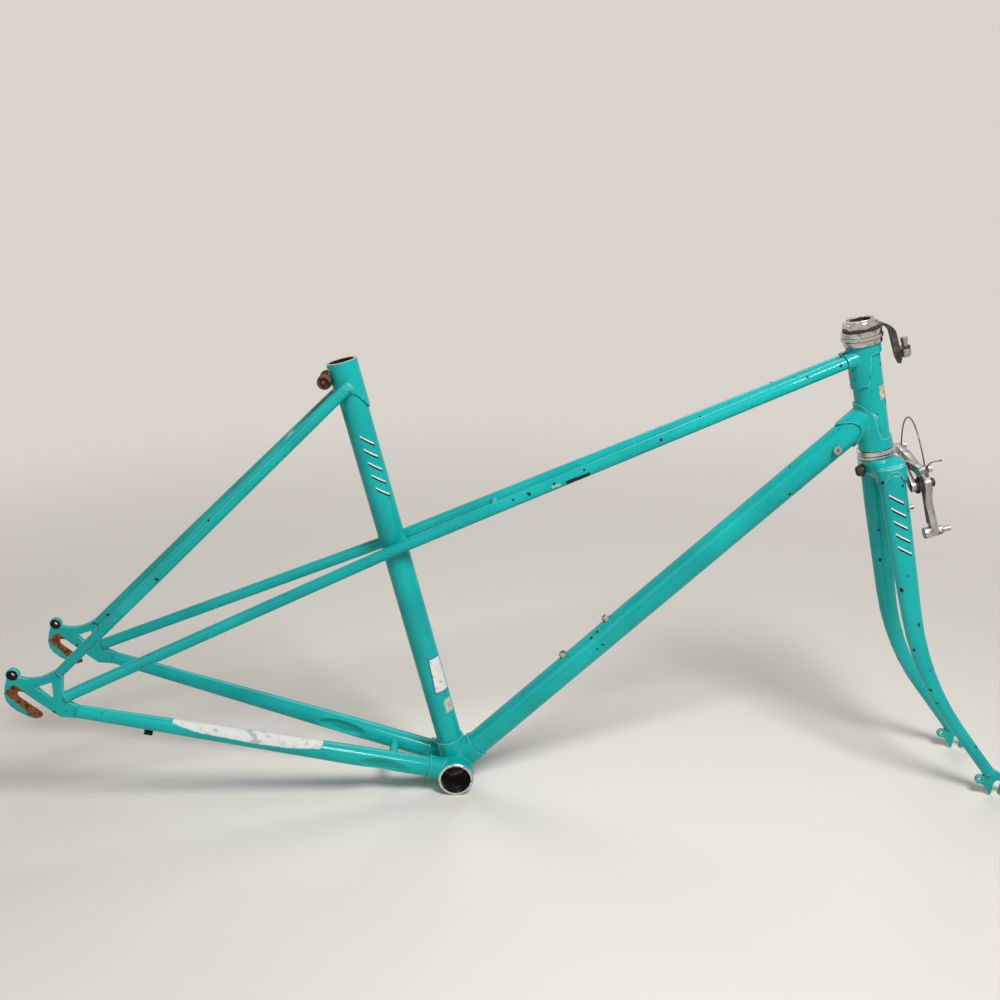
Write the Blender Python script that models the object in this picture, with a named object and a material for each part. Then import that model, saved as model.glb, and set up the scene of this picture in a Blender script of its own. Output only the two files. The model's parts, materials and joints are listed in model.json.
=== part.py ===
import math

import bmesh
import bpy
from mathutils import Vector

MM = 0.001
WELD = 0.002 * MM       # points closer than this after a cut become one
FIT_GAP = 0.3 * MM      # left between pieces that touch
CUT_OVERRUN = 4 * MM    # how far a cutter runs past what it cuts
RUNNING_GAP = 0.1 * MM  # round a shaft that turns or slides in its hole
CUTTER_PHASE = 0.061    # turns a cutter's facets off those of the piece it cuts
SOCKET_PHASE = 0.023

# Layout in the riding attitude, measured from the bottom bracket axis
SEAT_ANGLE = math.radians(69.05)
HEAD_ANGLE = math.radians(69.87)
DOWN_ANGLE = math.radians(49.97)
LATERAL_ANGLE = math.radians(29.85)
TUBE_CROSSING_RISE = 4.6 * MM      # seat and down tube axes cross this far above the shell axis
SEAT_TUBE_LENGTH = 481.3 * MM      # from that crossing to the rim
LATERAL_HEIGHT = 274.7 * MM        # where the laterals pass the seat tube, from the crossing
HEAD_FOOT_X = 402 * MM
HEAD_FOOT_Z = 431.3 * MM
HEAD_TUBE_LENGTH = 114 * MM
LATERAL_HEAD_DROP = 11.1 * MM      # where the laterals meet the steering axis, below the head tube's top
CHAIN_STAY_LENGTH = 473.6 * MM     # shell axis to the closed end of the axle slot
SHELL_DROP = 72.3 * MM             # shell axis below the axle line
FORK_LENGTH = 408.7 * MM           # head tube foot to the axle, along the steering axis
FORK_RAKE = 71.7 * MM              # axle ahead of the steering axis
REAR_SPACING = 126 * MM
FORK_SPACING = 100 * MM

# Tubes
MAIN_TUBE_OD = 28.6 * MM
MAIN_TUBE_WALL = 0.9 * MM
HEAD_TUBE_OD = 31.8 * MM
HEAD_TUBE_WALL = 0.9 * MM
LATERAL_OD = 12.7 * MM
LATERAL_WALL = 0.8 * MM
LATERAL_PAIR_GAP = 1.4 * MM        # between the two laterals at the head tube
LATERAL_BEND = 30 * MM             # half length of the bend beside the seat tube
SEAT_STAY_OD = 12.4 * MM
SEAT_STAY_TIP_OD = 10.4 * MM
SEAT_STAY_TAPER = 160 * MM
SEAT_STAY_WALL = 0.8 * MM
SEAT_STAY_CAP = 6.5 * MM
SEAT_STAY_VENT_OD = 3 * MM
SEAT_STAY_DROP = 25.5 * MM         # top of the stay below the rim
SEAT_STAY_AHEAD = 0.3 * MM         # and ahead of the seat tube axis
CHAIN_STAY_OD = 22 * MM
CHAIN_STAY_TIP_OD = 14 * MM
CHAIN_STAY_TAPER = 290 * MM
CHAIN_STAY_WALL = 0.8 * MM
CHAIN_STAY_STEPS = 13
CHAIN_STAY_RISE = 4.6 * MM         # axis at the shell, above the shell axis
CHAIN_STAY_SPREAD = 19.6 * MM      # half distance of the axes at the shell
CRANK_DENT_AT = 78 * MM            # from the shell axis to the middle of the dent
CRANK_DENT_LENGTH = 82 * MM
CRANK_DENT_DEPTH = 3 * MM
TYRE_DENT_AT = 134 * MM
TYRE_DENT_LENGTH = 78 * MM
TYRE_DENT_DEPTH = 3.6 * MM
LUG_WALL = 1.7 * MM
UPPER_LUG_FRONT = 10.1 * MM        # lower edge of the upper lug, below the head tube's top
UPPER_LUG_REAR = 45.5 * MM
UPPER_LUG_STEP = 0.88              # share of a lug's fall that is taken in the step at its side
LOWER_LUG_FRONT = 11.5 * MM        # upper edge of the lower lug, above the head tube's foot
LOWER_LUG_REAR = 53 * MM
LOWER_LUG_STEP = 0.72
LUG_STEP_SPAN = (-0.15, 0.25)      # where the step and the slope lie, as sines of the turn to the rear
LUG_SLOPE_SPAN = (0.1, 1.0)
LUG_SIDES = 36
LUG_GATHER = 0.6                   # draws a lug's facets together at its sides
LATERAL_SOCKET = 22 * MM           # sockets, from the head tube axis
DOWN_LUG_SIDE = 20 * MM
DOWN_LUG_POINT = 38 * MM
DOWN_LUG_POWER = 2.3               # the higher, the sharper the point
DOWN_LUG_TILT = math.radians(11.3) # how far the notch at each side sits above the middle
TUBE_SIDES = 26
STAY_SIDES = 16
BLADE_SIDES = 20
SLEEVE_SIDES = 32
RING_SIDES = 28                    # headset rings

# Bottom bracket shell
SHELL_OD = 40 * MM
SHELL_BORE = 33.6 * MM
SHELL_CHAMFER = 0.8 * MM
SHELL_WIDTH = 68 * MM
SHELL_SIDES = 32
SOCKET_START = 26 * MM             # tube ends, from the axes' crossing
SEAT_SOCKET_END = 32 * MM
DOWN_SOCKET_END = 32 * MM
STAY_SOCKET_END = 29 * MM
STAY_SEAT = 3.5 * MM               # chain stay ends, behind the shell's wall

# Seat lug and its binder
SEAT_LUG_HEIGHT = 32.5 * MM
SEAT_LUG_POINT = 21 * MM           # how much lower the lug reaches in front
SEAT_LUG_POWER = 2.4
SEAT_SLIT_WIDTH = 2.6 * MM
SEAT_SLIT_DEPTH = 29 * MM
BINDER_BACK = 21 * MM              # bolt axis behind the seat tube axis
BINDER_DROP = 15.4 * MM            # bolt axis below the rim
BINDER_EAR_OD = 13 * MM
BINDER_EAR_LENGTH = 9.5 * MM
BINDER_BOLT_OD = 8 * MM
BINDER_HEAD_OD = 15.2 * MM
BINDER_HEAD_LENGTH = 5.5 * MM
BINDER_RECESS_OD = 9.2 * MM        # ring sunk in the bolt's head, round a boss
BINDER_RECESS = 1.5 * MM
BINDER_CENTRE_OD = 4.8 * MM

# Rear dropouts, measured from the closed end of the axle slot
REAR_PLATE = 5.5 * MM
REAR_SLOT = 10 * MM
REAR_SLOT_LENGTH = 34 * MM
REAR_SLOT_ANGLE = math.radians(-33.3)
REAR_LIP_LENGTH = 27 * MM
EYELET_BORE = 5.2 * MM
REAR_EYELET_OD = 14 * MM
REAR_EYELET_X = -9.1 * MM
REAR_EYELET_Z = 22.6 * MM
SEAT_TAB_X = 38.5 * MM             # where each stay ends on the plate
SEAT_TAB_Z = 29.8 * MM
LATERAL_TAB = 46 * MM
CHAIN_TAB_X = 58 * MM
CHAIN_TAB_Z = -13.2 * MM
REAR_TOP = ((28, 28), (20.5, 23.6), (12.5, 20.9), (5, 19.9))          # plate's upper edge, in mm
REAR_HOOK = ((-16.6, 10), (-17.3, 0), (-15.6, -7.5), (-11, -13.4),
             (-2.5, -19.2), (9, -24.2), (16.5, -25), (21.8, -22.6))
REAR_WINDOW = ((15, 11), (31.5, 19), (33.5, 2.4), (30.4, -1))
REAR_CHIN = (41, -20.6)            # corner between the slot and the chain stay

# Small fittings on the tubes
BRIDGE_OD = 10 * MM
SEAT_BRIDGE_AT = 338 * MM          # up the seat stay from its dropout
CHAIN_BRIDGE_AT = 73 * MM          # behind the shell axis
LATERAL_BRIDGE_AT = 103 * MM       # ahead of the seat tube
LATERAL_BRIDGE_OD = 8 * MM
CABLE_STOP_AT = 336 * MM           # behind the shell axis
CABLE_STOP_OD = 6.4 * MM
CABLE_STOP_BORE = 2.6 * MM
CABLE_STOP_LENGTH = 9 * MM
BOTTLE_BOSS_AT = 179.5 * MM        # up the down tube
BOTTLE_BOSS_SPACING = 64 * MM
BOTTLE_BOSS_OD = 9 * MM
BOTTLE_BOSS_HEIGHT = 4.6 * MM
BOTTLE_BOSS_BEVEL = 1 * MM
BOTTLE_SOCKET_OD = 4 * MM
SHIFT_BOSS_AT = 551 * MM           # up the down tube
SHIFT_BOSS_OD = 8.4 * MM
SHIFT_BOSS_HEIGHT = 6 * MM

# Headset, heights along the steering axis from the head tube foot
STEERER_OD = 25.4 * MM
STEERER_BORE = 22.2 * MM
CUP_OD = 40 * MM
CUP_HEIGHT = 4.9 * MM
BALL_RING_OD = 34 * MM
BALL_RING_BORE = 27.4 * MM
BALL_RING_HEIGHT = 3.6 * MM
CUP_RECESS = 1.9 * MM
CUP_SKIRT = 8 * MM
RACE_GAP = 0.8 * MM                # open line between a cup and its race
CROWN_RACE_OD = 38.8 * MM
CROWN_RACE_HEIGHT = 2.9 * MM
TOP_RACE_OD = 43 * MM
TOP_RACE_FLANGE = 3.6 * MM         # bands of the top race, with a groove between them
TOP_RACE_GROOVE = 1 * MM
TOP_RACE_GROOVE_OD = 38.4 * MM
TOP_RACE_BAND = 4.4 * MM
TOP_RACE_BAND_OD = 41.4 * MM
LOCKNUT_FLATS = 32 * MM
LOCKNUT_HEX_HEIGHT = 5.8 * MM
LOCKNUT_COLLAR_OD = 29.4 * MM
LOCKNUT_COLLAR_HEIGHT = 2.7 * MM
STEERER_SHORT = 1 * MM             # steerer's top below the locknut's

# Cable hanger and its adjuster
HANGER_PLATE = 2.2 * MM
HANGER_RING_OD = 38 * MM
HANGER_WIDTH = 19 * MM
HANGER_REACH = 32 * MM             # arm ahead of the steering axis
HANGER_BEND = 13 * MM              # where the arm has turned down, below its ring
HANGER_DROP = 44.4 * MM            # arm's tip below its ring
HANGER_POINT = 7 * MM              # length of the pointed tip
HANGER_POINT_SHARE = 0.35          # its end's width as a share of the arm's
HANGER_TAB_WIDTH = 11 * MM
HANGER_TAB_DROP = 29 * MM
HANGER_TAB_REACH = 9.6 * MM        # adjuster's axis ahead of the arm
ADJUSTER_OD = 6 * MM
ADJUSTER_BORE = 2.4 * MM
ADJUSTER_ABOVE = 11 * MM
ADJUSTER_RIM_OD = 7.4 * MM
ADJUSTER_RIM_HEIGHT = 5 * MM
ADJUSTER_KNOB_OD = 11.4 * MM
ADJUSTER_KNOB_HEIGHT = 9 * MM

# Fork
CROWN_TOP_DROP = 9.2 * MM          # crown's top below the head tube foot
CROWN_CORNER = 5 * MM
CROWN_STEPS = 8
STEERER_SEAT = 6 * MM              # steerer and blades end this deep in the crown
BLADE_SEAT = 6 * MM
CROWN_DEPTH = 33 * MM              # fore and aft
CROWN_HEIGHT = 19.5 * MM
CROWN_SHOULDER = 7 * MM            # rounding of the crown's shoulders
CROWN_ARCH_TOP = 10.8 * MM         # arched lower edge of the sockets, below the crown's top
CROWN_ARCH_FOOT = 22.8 * MM
CROWN_ARCH_SHARE = 0.61            # half width of the arch as a share of the socket's half depth
CROWN_ARCH_POWER = 2.8
CROWN_SLEEVE_SHARE = 0.6           # how far up the crown's height the sleeves reach
CROWN_END_TURN = math.radians(80)  # how far round the last section of the crown's end lies
BLADE_DEPTH = 28 * MM              # oval blade, fore and aft
BLADE_WIDTH = 20 * MM
BLADE_TIP_OD = 13 * MM
BLADE_WALL = 1 * MM
BLADE_SPREAD = 26.5 * MM           # half distance of the blade axes at the crown
BLADE_FORWARD = 3.6 * MM           # blade axes ahead of the steering axis
BLADE_TAPER_FROM = 70 * MM         # taper starts this far below the head tube foot
BLADE_TAPER = 270 * MM
BLADE_STRAIGHT = 185 * MM          # bend starts this far below the head tube foot
BLADE_END_BACK = 8 * MM            # blade end behind and above the axle
BLADE_END_UP = 17 * MM
BLADE_SWEEP = math.radians(24.5)   # tip direction, forward of the steering axis
FRONT_PLATE = 4.5 * MM
FRONT_SLOT = 9.4 * MM
FRONT_SLOT_LENGTH = 13 * MM
FRONT_TINE = 7.6 * MM
FRONT_EYELET_OD = 10.6 * MM
FRONT_EYELET_X = -21.5 * MM
FRONT_EYELET_Z = 3.6 * MM

# Front brake, heights along the steering axis and reach ahead of it
BRAKE_BOLT_OD = 6 * MM
BRAKE_BOLT_DROP = 23 * MM
BRAKE_NUT_OD = 14 * MM
BRAKE_NUT_LENGTH = 7 * MM
BOLT_SHORT = 1 * MM                # a bolt's end below its nut's
YOKE_PLATE = 5 * MM
YOKE_WIDTH = 12 * MM
PIVOT_SPREAD = 33 * MM             # half distance of the arm pivots
PIVOT_DROP = 41 * MM
PIVOT_OD = 6 * MM
PIVOT_BOSS_OD = 12 * MM
PIVOT_BUSH_OD = 14 * MM
PIVOT_HEAD_OD = 10 * MM
PIVOT_HEAD_LENGTH = 4 * MM
ARM_PLATE = 7.4 * MM
ARM_WIDTH = 8.4 * MM
ARM_FOOT_WIDTH = 11 * MM
ARM_CABLE_SPREAD = 45 * MM         # cable end of an arm, past the middle
ARM_CABLE_DROP = 21 * MM
ARM_RISE = ((-0.5, 0.1), (0, 0.3), (0.5, 0.62))   # limb between: share of the pivot spread, share of the fall
ARM_WAIST_SPREAD = 31 * MM         # lower limb where it runs nearest the middle
ARM_WAIST_DROP = 63 * MM
ARM_FOOT_SPREAD = 39.5 * MM
ARM_FOOT_DROP = 93.5 * MM
SHOE_BOLT_OD = 6 * MM
SHOE_EYE_OD = 12 * MM
SHOE_EYE_LENGTH = 7 * MM
SHOE_NUT_OD = 9.6 * MM
SHOE_NUT_LENGTH = 5 * MM
SHOE_BOLT_PROUD = 8 * MM
SPRING_WIRE = 2 * MM
SPRING_STEPS = 10
ANCHOR_OD = 4.8 * MM
ANCHOR_HEAD_OD = 8.4 * MM
ANCHOR_HEAD_LENGTH = 4 * MM
YOKE_SHARES = (-1, -0.7, -0.3, 0, 0.3, 0.7, 1)
YOKE_POWER = 1.6                   # how late the yoke turns down to its pivots
WIRE_OD = 1.6 * MM
WIRE_PEAK = 25 * MM                # top of the straddle wire above the head tube foot
WIRE_TAIL = 15 * MM
WIRE_ARCH = ((0.12, 0.52), (0.28, 0.80), (0.45, 0.96), (0.60, 1.0), (0.75, 0.92), (0.87, 0.72), (0.96, 0.42))

PAINT = ((0.004, 0.42, 0.40), 0.25, 0.1)
BARE_STEEL = ((0.50, 0.47, 0.43), 0.35, 1.0)
CHROME = ((0.62, 0.61, 0.58), 0.16, 1.0)
ALLOY = ((0.56, 0.55, 0.53), 0.38, 1.0)
DARK_STEEL = ((0.055, 0.050, 0.045), 0.5, 0.8)
RUSTY = ((0.16, 0.055, 0.03), 0.75, 0.5)

SIDE_NAMES = {-1: "right", 1: "left"}
ACROSS = Vector((0, 1, 0))


def in_plane(angle):
    return Vector((math.cos(angle), 0, math.sin(angle)))


def forward_of(up):
    return Vector((up.z, 0, -up.x))


def meet(start, direction, other, other_direction):
    normal = forward_of(other_direction)
    return start + direction * ((other - start).dot(normal) / direction.dot(normal))


# Key directions and points
seatUp = in_plane(math.pi - SEAT_ANGLE)
headUp = in_plane(math.pi - HEAD_ANGLE)
downUp = in_plane(DOWN_ANGLE)
lateralUp = in_plane(LATERAL_ANGLE)
headForward = forward_of(headUp)
crossing = Vector((0, 0, TUBE_CROSSING_RISE))
seatRim = crossing + seatUp * SEAT_TUBE_LENGTH
headFoot = Vector((HEAD_FOOT_X, 0, HEAD_FOOT_Z))
rearAxle = Vector((-math.sqrt(CHAIN_STAY_LENGTH ** 2 - SHELL_DROP ** 2), 0, SHELL_DROP))
frontAxle = headFoot + headForward * FORK_RAKE - headUp * FORK_LENGTH
lateralMid = crossing + seatUp * LATERAL_HEIGHT
rearPlateY = (REAR_SPACING + REAR_PLATE) / 2
frontPlateY = (FORK_SPACING + FRONT_PLATE) / 2


def head_point(reach, side, height):
    return headFoot + headForward * reach + ACROSS * side + headUp * height


# Mesh helpers
def new_object(name, bm, smooth=True):
    bmesh.ops.recalc_face_normals(bm, faces=bm.faces)
    mesh = bpy.data.meshes.new(name)
    bm.to_mesh(mesh)
    bm.free()
    if smooth:
        mesh.shade_smooth()
        mesh.set_sharp_from_angle(angle=math.radians(35))
    piece = bpy.data.objects.new(name, mesh)
    bpy.context.scene.collection.objects.link(piece)
    return piece


def combine(piece, other, operation):
    modifier = piece.modifiers.new("combine", "BOOLEAN")
    modifier.operation = operation
    modifier.object = other
    depsgraph = bpy.context.evaluated_depsgraph_get()
    mesh = bpy.data.meshes.new_from_object(piece.evaluated_get(depsgraph))
    piece.modifiers.clear()
    old = piece.data
    piece.data = mesh
    bpy.data.meshes.remove(old)
    bpy.data.objects.remove(other)
    bm = bmesh.new()
    bm.from_mesh(mesh)
    bmesh.ops.remove_doubles(bm, verts=bm.verts, dist=WELD)
    bmesh.ops.dissolve_degenerate(bm, edges=bm.edges, dist=WELD)
    bm.to_mesh(mesh)
    bm.free()
    mesh.shade_smooth()
    mesh.set_sharp_from_angle(angle=math.radians(35))
    return piece


def cross_axes(axis):
    side = ACROSS if abs(axis.y) < 0.9 else Vector((1, 0, 0))
    up = axis.cross(side).normalized()
    return up.cross(axis).normalized(), up


def turned(name, origin, axis, profile, sides=TUBE_SIDES, smooth=True, phase=0.0):
    """Revolve a closed profile of (radius, height) pairs about an axis."""
    axis = axis.normalized()
    side, up = cross_axes(axis)
    bm = bmesh.new()
    loops = []
    for radius, height in profile:
        centre = origin + axis * height
        if radius <= 0:
            loops.append([bm.verts.new(centre)] * sides)
            continue
        turns = [math.tau * step / sides + phase for step in range(sides)]
        spokes = [side * math.cos(turn) + up * math.sin(turn) for turn in turns]
        loops.append([bm.verts.new(centre + spoke * radius) for spoke in spokes])
    for first, second in zip(loops, loops[1:] + loops[:1]):
        skin(bm, first, second)
    return new_object(name, bm, smooth)


def skin(bm, first, second):
    """Join two loops of the same count with faces, skipping a loop that is one point."""
    count = len(first)
    if first[0] is first[1] and second[0] is second[1]:
        return
    for step in range(count):
        after = (step + 1) % count
        corners = [first[step], first[after], second[after], second[step]]
        unique = [vert for place, vert in enumerate(corners) if vert is not corners[place - 1]]
        bm.faces.new(unique)


def rod(name, start, end, diameter, bore=0.0, sides=TUBE_SIDES, phase=0.0):
    axis = end - start
    length = axis.length
    inner = bore / 2
    profile = [(diameter / 2, 0), (diameter / 2, length), (inner, length), (inner, 0)]
    return turned(name, start, axis, profile, sides, phase=phase)


def oval_ring(centre, axis, half_side, half_up, sides, dents=()):
    """A ring of points round an axis; each dent is (turn, depth) pressed in from that side."""
    side, up = cross_axes(axis)
    points = []
    for step in range(sides):
        turn = math.tau * step / sides
        pressed = sum(depth * max(0.0, math.cos(turn - where)) ** 3 for where, depth in dents)
        aside = side * math.cos(turn) * (half_side - pressed)
        points.append(centre + aside + up * math.sin(turn) * (half_up - pressed))
    return points


def loft(name, outer, inner=None, closed_end=False, smooth=True):
    """Skin rings of points; inner rings leave a bore, closed at the end if asked."""
    bm = bmesh.new()
    shell = [[bm.verts.new(point) for point in ring] for ring in outer]
    for first, second in zip(shell, shell[1:]):
        skin(bm, first, second)
    if inner is None:
        bm.faces.new(shell[0])
        bm.faces.new(shell[-1])
        return new_object(name, bm, smooth)
    bore = [[bm.verts.new(point) for point in ring] for ring in inner]
    for first, second in zip(bore, bore[1:]):
        skin(bm, first, second)
    skin(bm, shell[0], bore[0])
    if closed_end:
        bm.faces.new(shell[-1])
        bm.faces.new(bore[-1])
    else:
        skin(bm, shell[-1], bore[-1])
    return new_object(name, bm, smooth)


def collar(name, origin, axis, inner, outer, low, high, sides=TUBE_SIDES, narrow=1.0, gather=0.0):
    """A sleeve whose edges run up and down round the axis, as low(turn) and high(turn) say."""
    side, up = cross_axes(axis)
    rings = [[], [], [], []]
    for step in range(sides):
        even = math.tau * step / sides
        turn = even - gather / 2 * math.sin(2 * even)
        spoke = side * math.cos(turn) * narrow + up * math.sin(turn)
        for ring, radius, edge in zip(rings, (inner, outer, outer, inner), (low, low, high, high)):
            ring.append(origin + axis * edge(turn) + spoke * radius)
    bm = bmesh.new()
    loops = [[bm.verts.new(point) for point in ring] for ring in rings]
    for first, second in zip(loops, loops[1:] + loops[:1]):
        skin(bm, first, second)
    return new_object(name, bm)


def plate(name, outline, holes, place, thickness, smooth=False):
    """An outline of (a, b) pairs with holes, cut from plate; place(a, b, depth) gives each point."""
    bm = bmesh.new()
    edges = []
    for loop in [outline] + holes:
        verts = [bm.verts.new(place(a, b, -thickness / 2)) for a, b in loop]
        edges += [bm.edges.new(pair) for pair in zip(verts, verts[1:] + verts[:1])]
    bmesh.ops.triangle_fill(bm, use_beauty=True, edges=edges)
    shift = place(0, 0, thickness / 2) - place(0, 0, -thickness / 2)
    made = bmesh.ops.extrude_face_region(bm, geom=bm.faces[:])
    verts = [item for item in made["geom"] if isinstance(item, bmesh.types.BMVert)]
    bmesh.ops.translate(bm, verts=verts, vec=shift)
    return new_object(name, bm, smooth)


def arc(centre, radius, start, end, steps):
    """Points of an arc in the plate's plane, in degrees."""
    turns = [math.radians(start + (end - start) * step / steps) for step in range(steps + 1)]
    return [(centre[0] + radius * math.cos(t), centre[1] + radius * math.sin(t)) for t in turns]


def circle(centre, diameter, sides=16):
    return arc(centre, diameter / 2, 0, 360, sides)[:-1]


def smooth_path(points, steps):
    """A smooth curve through the points, as Catmull and Rom draw it."""
    padded = [points[0] * 2 - points[1]] + points + [points[-1] * 2 - points[-2]]
    path = []
    for before, start, end, after in zip(padded, padded[1:], padded[2:], padded[3:]):
        for step in range(steps):
            t = step / steps
            bend = (end - before) * t + (before * 2 - start * 5 + end * 4 - after) * t * t
            path.append(start + (bend + (start * 3 - before - end * 3 + after) * t ** 3) / 2)
    return path + [points[-1]]


def eased(value, low, high):
    """Rises smoothly from 0 at low to 1 at high."""
    share = min(1.0, max(0.0, (value - low) / (high - low)))
    return share * share * (3 - 2 * share)


def tangents(path):
    ends = zip([path[0]] + path[:-1], path[1:] + [path[-1]])
    return [(after - before).normalized() for before, after in ends]


def bezier(start, start_pull, end_pull, end, steps):
    points = []
    for step in range(steps + 1):
        t = step / steps
        near = start * (1 - t) ** 3 + start_pull * 3 * t * (1 - t) ** 2
        points.append(near + end_pull * 3 * t * t * (1 - t) + end * t ** 3)
    return points


def wire(name, path, diameter, rounds=2):
    curve = bpy.data.curves.new(name, "CURVE")
    curve.dimensions = "3D"
    curve.bevel_depth = diameter / 2
    curve.bevel_resolution = rounds
    curve.use_fill_caps = True
    spline = curve.splines.new("POLY")
    spline.points.add(len(path) - 1)
    for target, point in zip(spline.points, path):
        target.co = (*point, 1)
    piece = bpy.data.objects.new(name, curve)
    bpy.context.scene.collection.objects.link(piece)
    return piece


def least_gap(path, diameter):
    """The least clear distance between parts of a wire that aren't next to each other."""
    fine = []
    for start, end in zip(path, path[1:]):
        fine += [start.lerp(end, step / 12) for step in range(12)]
    travel = [0.0]
    for start, end in zip(fine, fine[1:]):
        travel.append(travel[-1] + (end - start).length)
    least = math.inf
    for place, point in enumerate(fine):
        for other in range(place + 1, len(fine)):
            if travel[other] - travel[place] > diameter * 5:
                least = min(least, (fine[other] - point).length - diameter)
    return least


def finish(piece, look, parent):
    colour, roughness, metallic = look
    material = bpy.data.materials.new(piece.name)
    material.use_nodes = True
    shader = material.node_tree.nodes["Principled BSDF"]
    shader.inputs["Base Color"].default_value = (*colour, 1)
    shader.inputs["Roughness"].default_value = roughness
    shader.inputs["Metallic"].default_value = metallic
    piece.data.materials.clear()
    piece.data.materials.append(material)
    piece.parent = parent
    if parent.parent:
        piece.matrix_parent_inverse = parent.matrix_basis.inverted()
    return piece


def empty(name, location, parent=None):
    anchor = bpy.data.objects.new(name, None)
    bpy.context.scene.collection.objects.link(anchor)
    anchor.location = location
    anchor.parent = parent
    return anchor


def band(stations):
    """The outline of a strip through (a, b, half width) stations, with round ends."""
    path = smooth_path([Vector(station) for station in stations], 3)
    flat = [Vector((point.x, point.y, 0)) for point in path]
    headings = tangents(flat)
    left = []
    right = []
    for middle, heading, point in zip(flat, headings, path):
        aside = Vector((-heading.y, heading.x, 0)) * point.z
        left.append(tuple((middle + aside).to_2d()))
        right.append(tuple((middle - aside).to_2d()))
    facing = [math.degrees(math.atan2(heading.y, heading.x)) for heading in headings]
    end_cap = arc(flat[-1], path[-1].z, facing[-1] + 90, facing[-1] - 90, 6)[1:-1]
    start_cap = arc(flat[0], path[0].z, facing[0] - 90, facing[0] - 270, 6)[1:-1]
    return left + end_cap + right[::-1] + start_cap


def tube(name, path, half_sizes, wall, sides, closed_end=True, dents=None):
    """A tube through the path's points; its closed end is cut square to the plate it meets."""
    headings = tangents(path)
    if closed_end:
        headings[-1] = Vector((headings[-1].x, 0, headings[-1].z)).normalized()
    outer = []
    inner = []
    for place, (centre, heading, sizes) in enumerate(zip(path, headings, half_sizes)):
        pressed = dents[place] if dents else ()
        outer.append(oval_ring(centre, heading, *sizes, sides, pressed))
        if closed_end and place == len(path) - 1:
            centre = centre - heading * wall * 3
        inner.append(oval_ring(centre, heading, sizes[0] - wall, sizes[1] - wall, sides, pressed))
    return loft(name, outer, inner, closed_end)


def lateral_line(side):
    """Lateral axis points: head end, beside the seat tube and rear end."""
    meeting = headFoot + headUp * (HEAD_TUBE_LENGTH - LATERAL_HEAD_DROP)
    rear_x = rearAxle.x + LATERAL_TAB
    rear = lateralMid + lateralUp * ((rear_x - lateralMid.x) / lateralUp.x)
    beside = (MAIN_TUBE_OD + LATERAL_OD) / 2 + FIT_GAP
    return (
        meeting + ACROSS * side * (LATERAL_OD / 2 + LATERAL_PAIR_GAP / 2),
        lateralMid + ACROSS * side * beside,
        rear + ACROSS * side * rearPlateY,
    )


def lateral_start(side):
    """A lateral's head end and its direction from there to the seat tube."""
    front, middle, rear = lateral_line(side)
    return front, (middle - front).normalized()


def seat_stay_line(side):
    """Seat stay axis from its dropout to its cap."""
    foot = rearAxle + Vector((SEAT_TAB_X, 0, SEAT_TAB_Z)) + ACROSS * side * rearPlateY
    ahead = forward_of(seatUp) * SEAT_STAY_AHEAD
    beside = MAIN_TUBE_OD / 2 + LUG_WALL + FIT_GAP * 2 + SEAT_STAY_OD / 2
    top = seatRim - seatUp * SEAT_STAY_DROP + ahead + ACROSS * side * beside
    return foot, top


def chain_stay_line(side):
    """Chain stay axis from the shell to its dropout."""
    start = Vector((-SHELL_OD / 2 - STAY_SEAT, side * CHAIN_STAY_SPREAD, CHAIN_STAY_RISE))
    end = rearAxle + Vector((CHAIN_TAB_X, side * rearPlateY, CHAIN_TAB_Z))
    return start, end


def head_cutter():
    reach = headUp * HEAD_TUBE_LENGTH
    return cutter(headFoot - reach, headFoot + reach * 2, HEAD_TUBE_OD + 2 * FIT_GAP)


def cutter(start, end, diameter, sides=TUBE_SIDES):
    return rod("cutter", start, end, diameter, sides=sides, phase=CUTTER_PHASE)


def build_main_tubes(root):
    bore = MAIN_TUBE_OD - 2 * MAIN_TUBE_WALL
    head_top = headFoot + headUp * HEAD_TUBE_LENGTH
    head = rod("head_tube", headFoot, head_top, HEAD_TUBE_OD, HEAD_TUBE_OD - 2 * HEAD_TUBE_WALL)
    finish(head, PAINT, root)

    seat = rod("seat_tube", crossing + seatUp * SOCKET_START, seatRim, MAIN_TUBE_OD, bore)
    combine(seat, seat_slit(), "DIFFERENCE")
    finish(seat, PAINT, root)

    down_end = meet(crossing, downUp, headFoot, headUp)
    down = rod("down_tube", crossing + downUp * SOCKET_START, down_end, MAIN_TUBE_OD, bore)
    combine(down, head_cutter(), "DIFFERENCE")
    finish(down, PAINT, root)

    for side, name in SIDE_NAMES.items():
        front, middle, rear = lateral_line(side)
        bend_start = middle + (front - middle).normalized() * LATERAL_BEND
        bend_end = middle + (rear - middle).normalized() * LATERAL_BEND
        rear = rear - (rear - middle).normalized() * FIT_GAP
        path = [front] + bezier(bend_start, middle, middle, bend_end, 6) + [rear]
        sizes = [(LATERAL_OD / 2, LATERAL_OD / 2)] * len(path)
        lateral = tube("lateral_tube_" + name, path, sizes, LATERAL_WALL, STAY_SIDES)
        combine(lateral, head_cutter(), "DIFFERENCE")
        finish(lateral, PAINT, root)


def seat_slit():
    forward = forward_of(seatUp)
    back = -BINDER_BACK - BINDER_EAR_OD
    front = -MAIN_TUBE_OD / 4
    low = -SEAT_SLIT_DEPTH

    def place(a, b, depth):
        return seatRim + forward * a + seatUp * b + ACROSS * depth

    outline = [(back, low), (front, low), (front, CUT_OVERRUN), (back, CUT_OVERRUN)]
    return plate("cutter", outline, [], place, SEAT_SLIT_WIDTH)


def lug_edge(turn, front, rear, step):
    """A head lug's edge: level in front, a step at the side, then a slope to the rear."""
    behind = math.sin(turn)
    share = step * eased(behind, *LUG_STEP_SPAN) + (1 - step) * eased(behind, *LUG_SLOPE_SPAN)
    return front + (rear - front) * share


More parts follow.
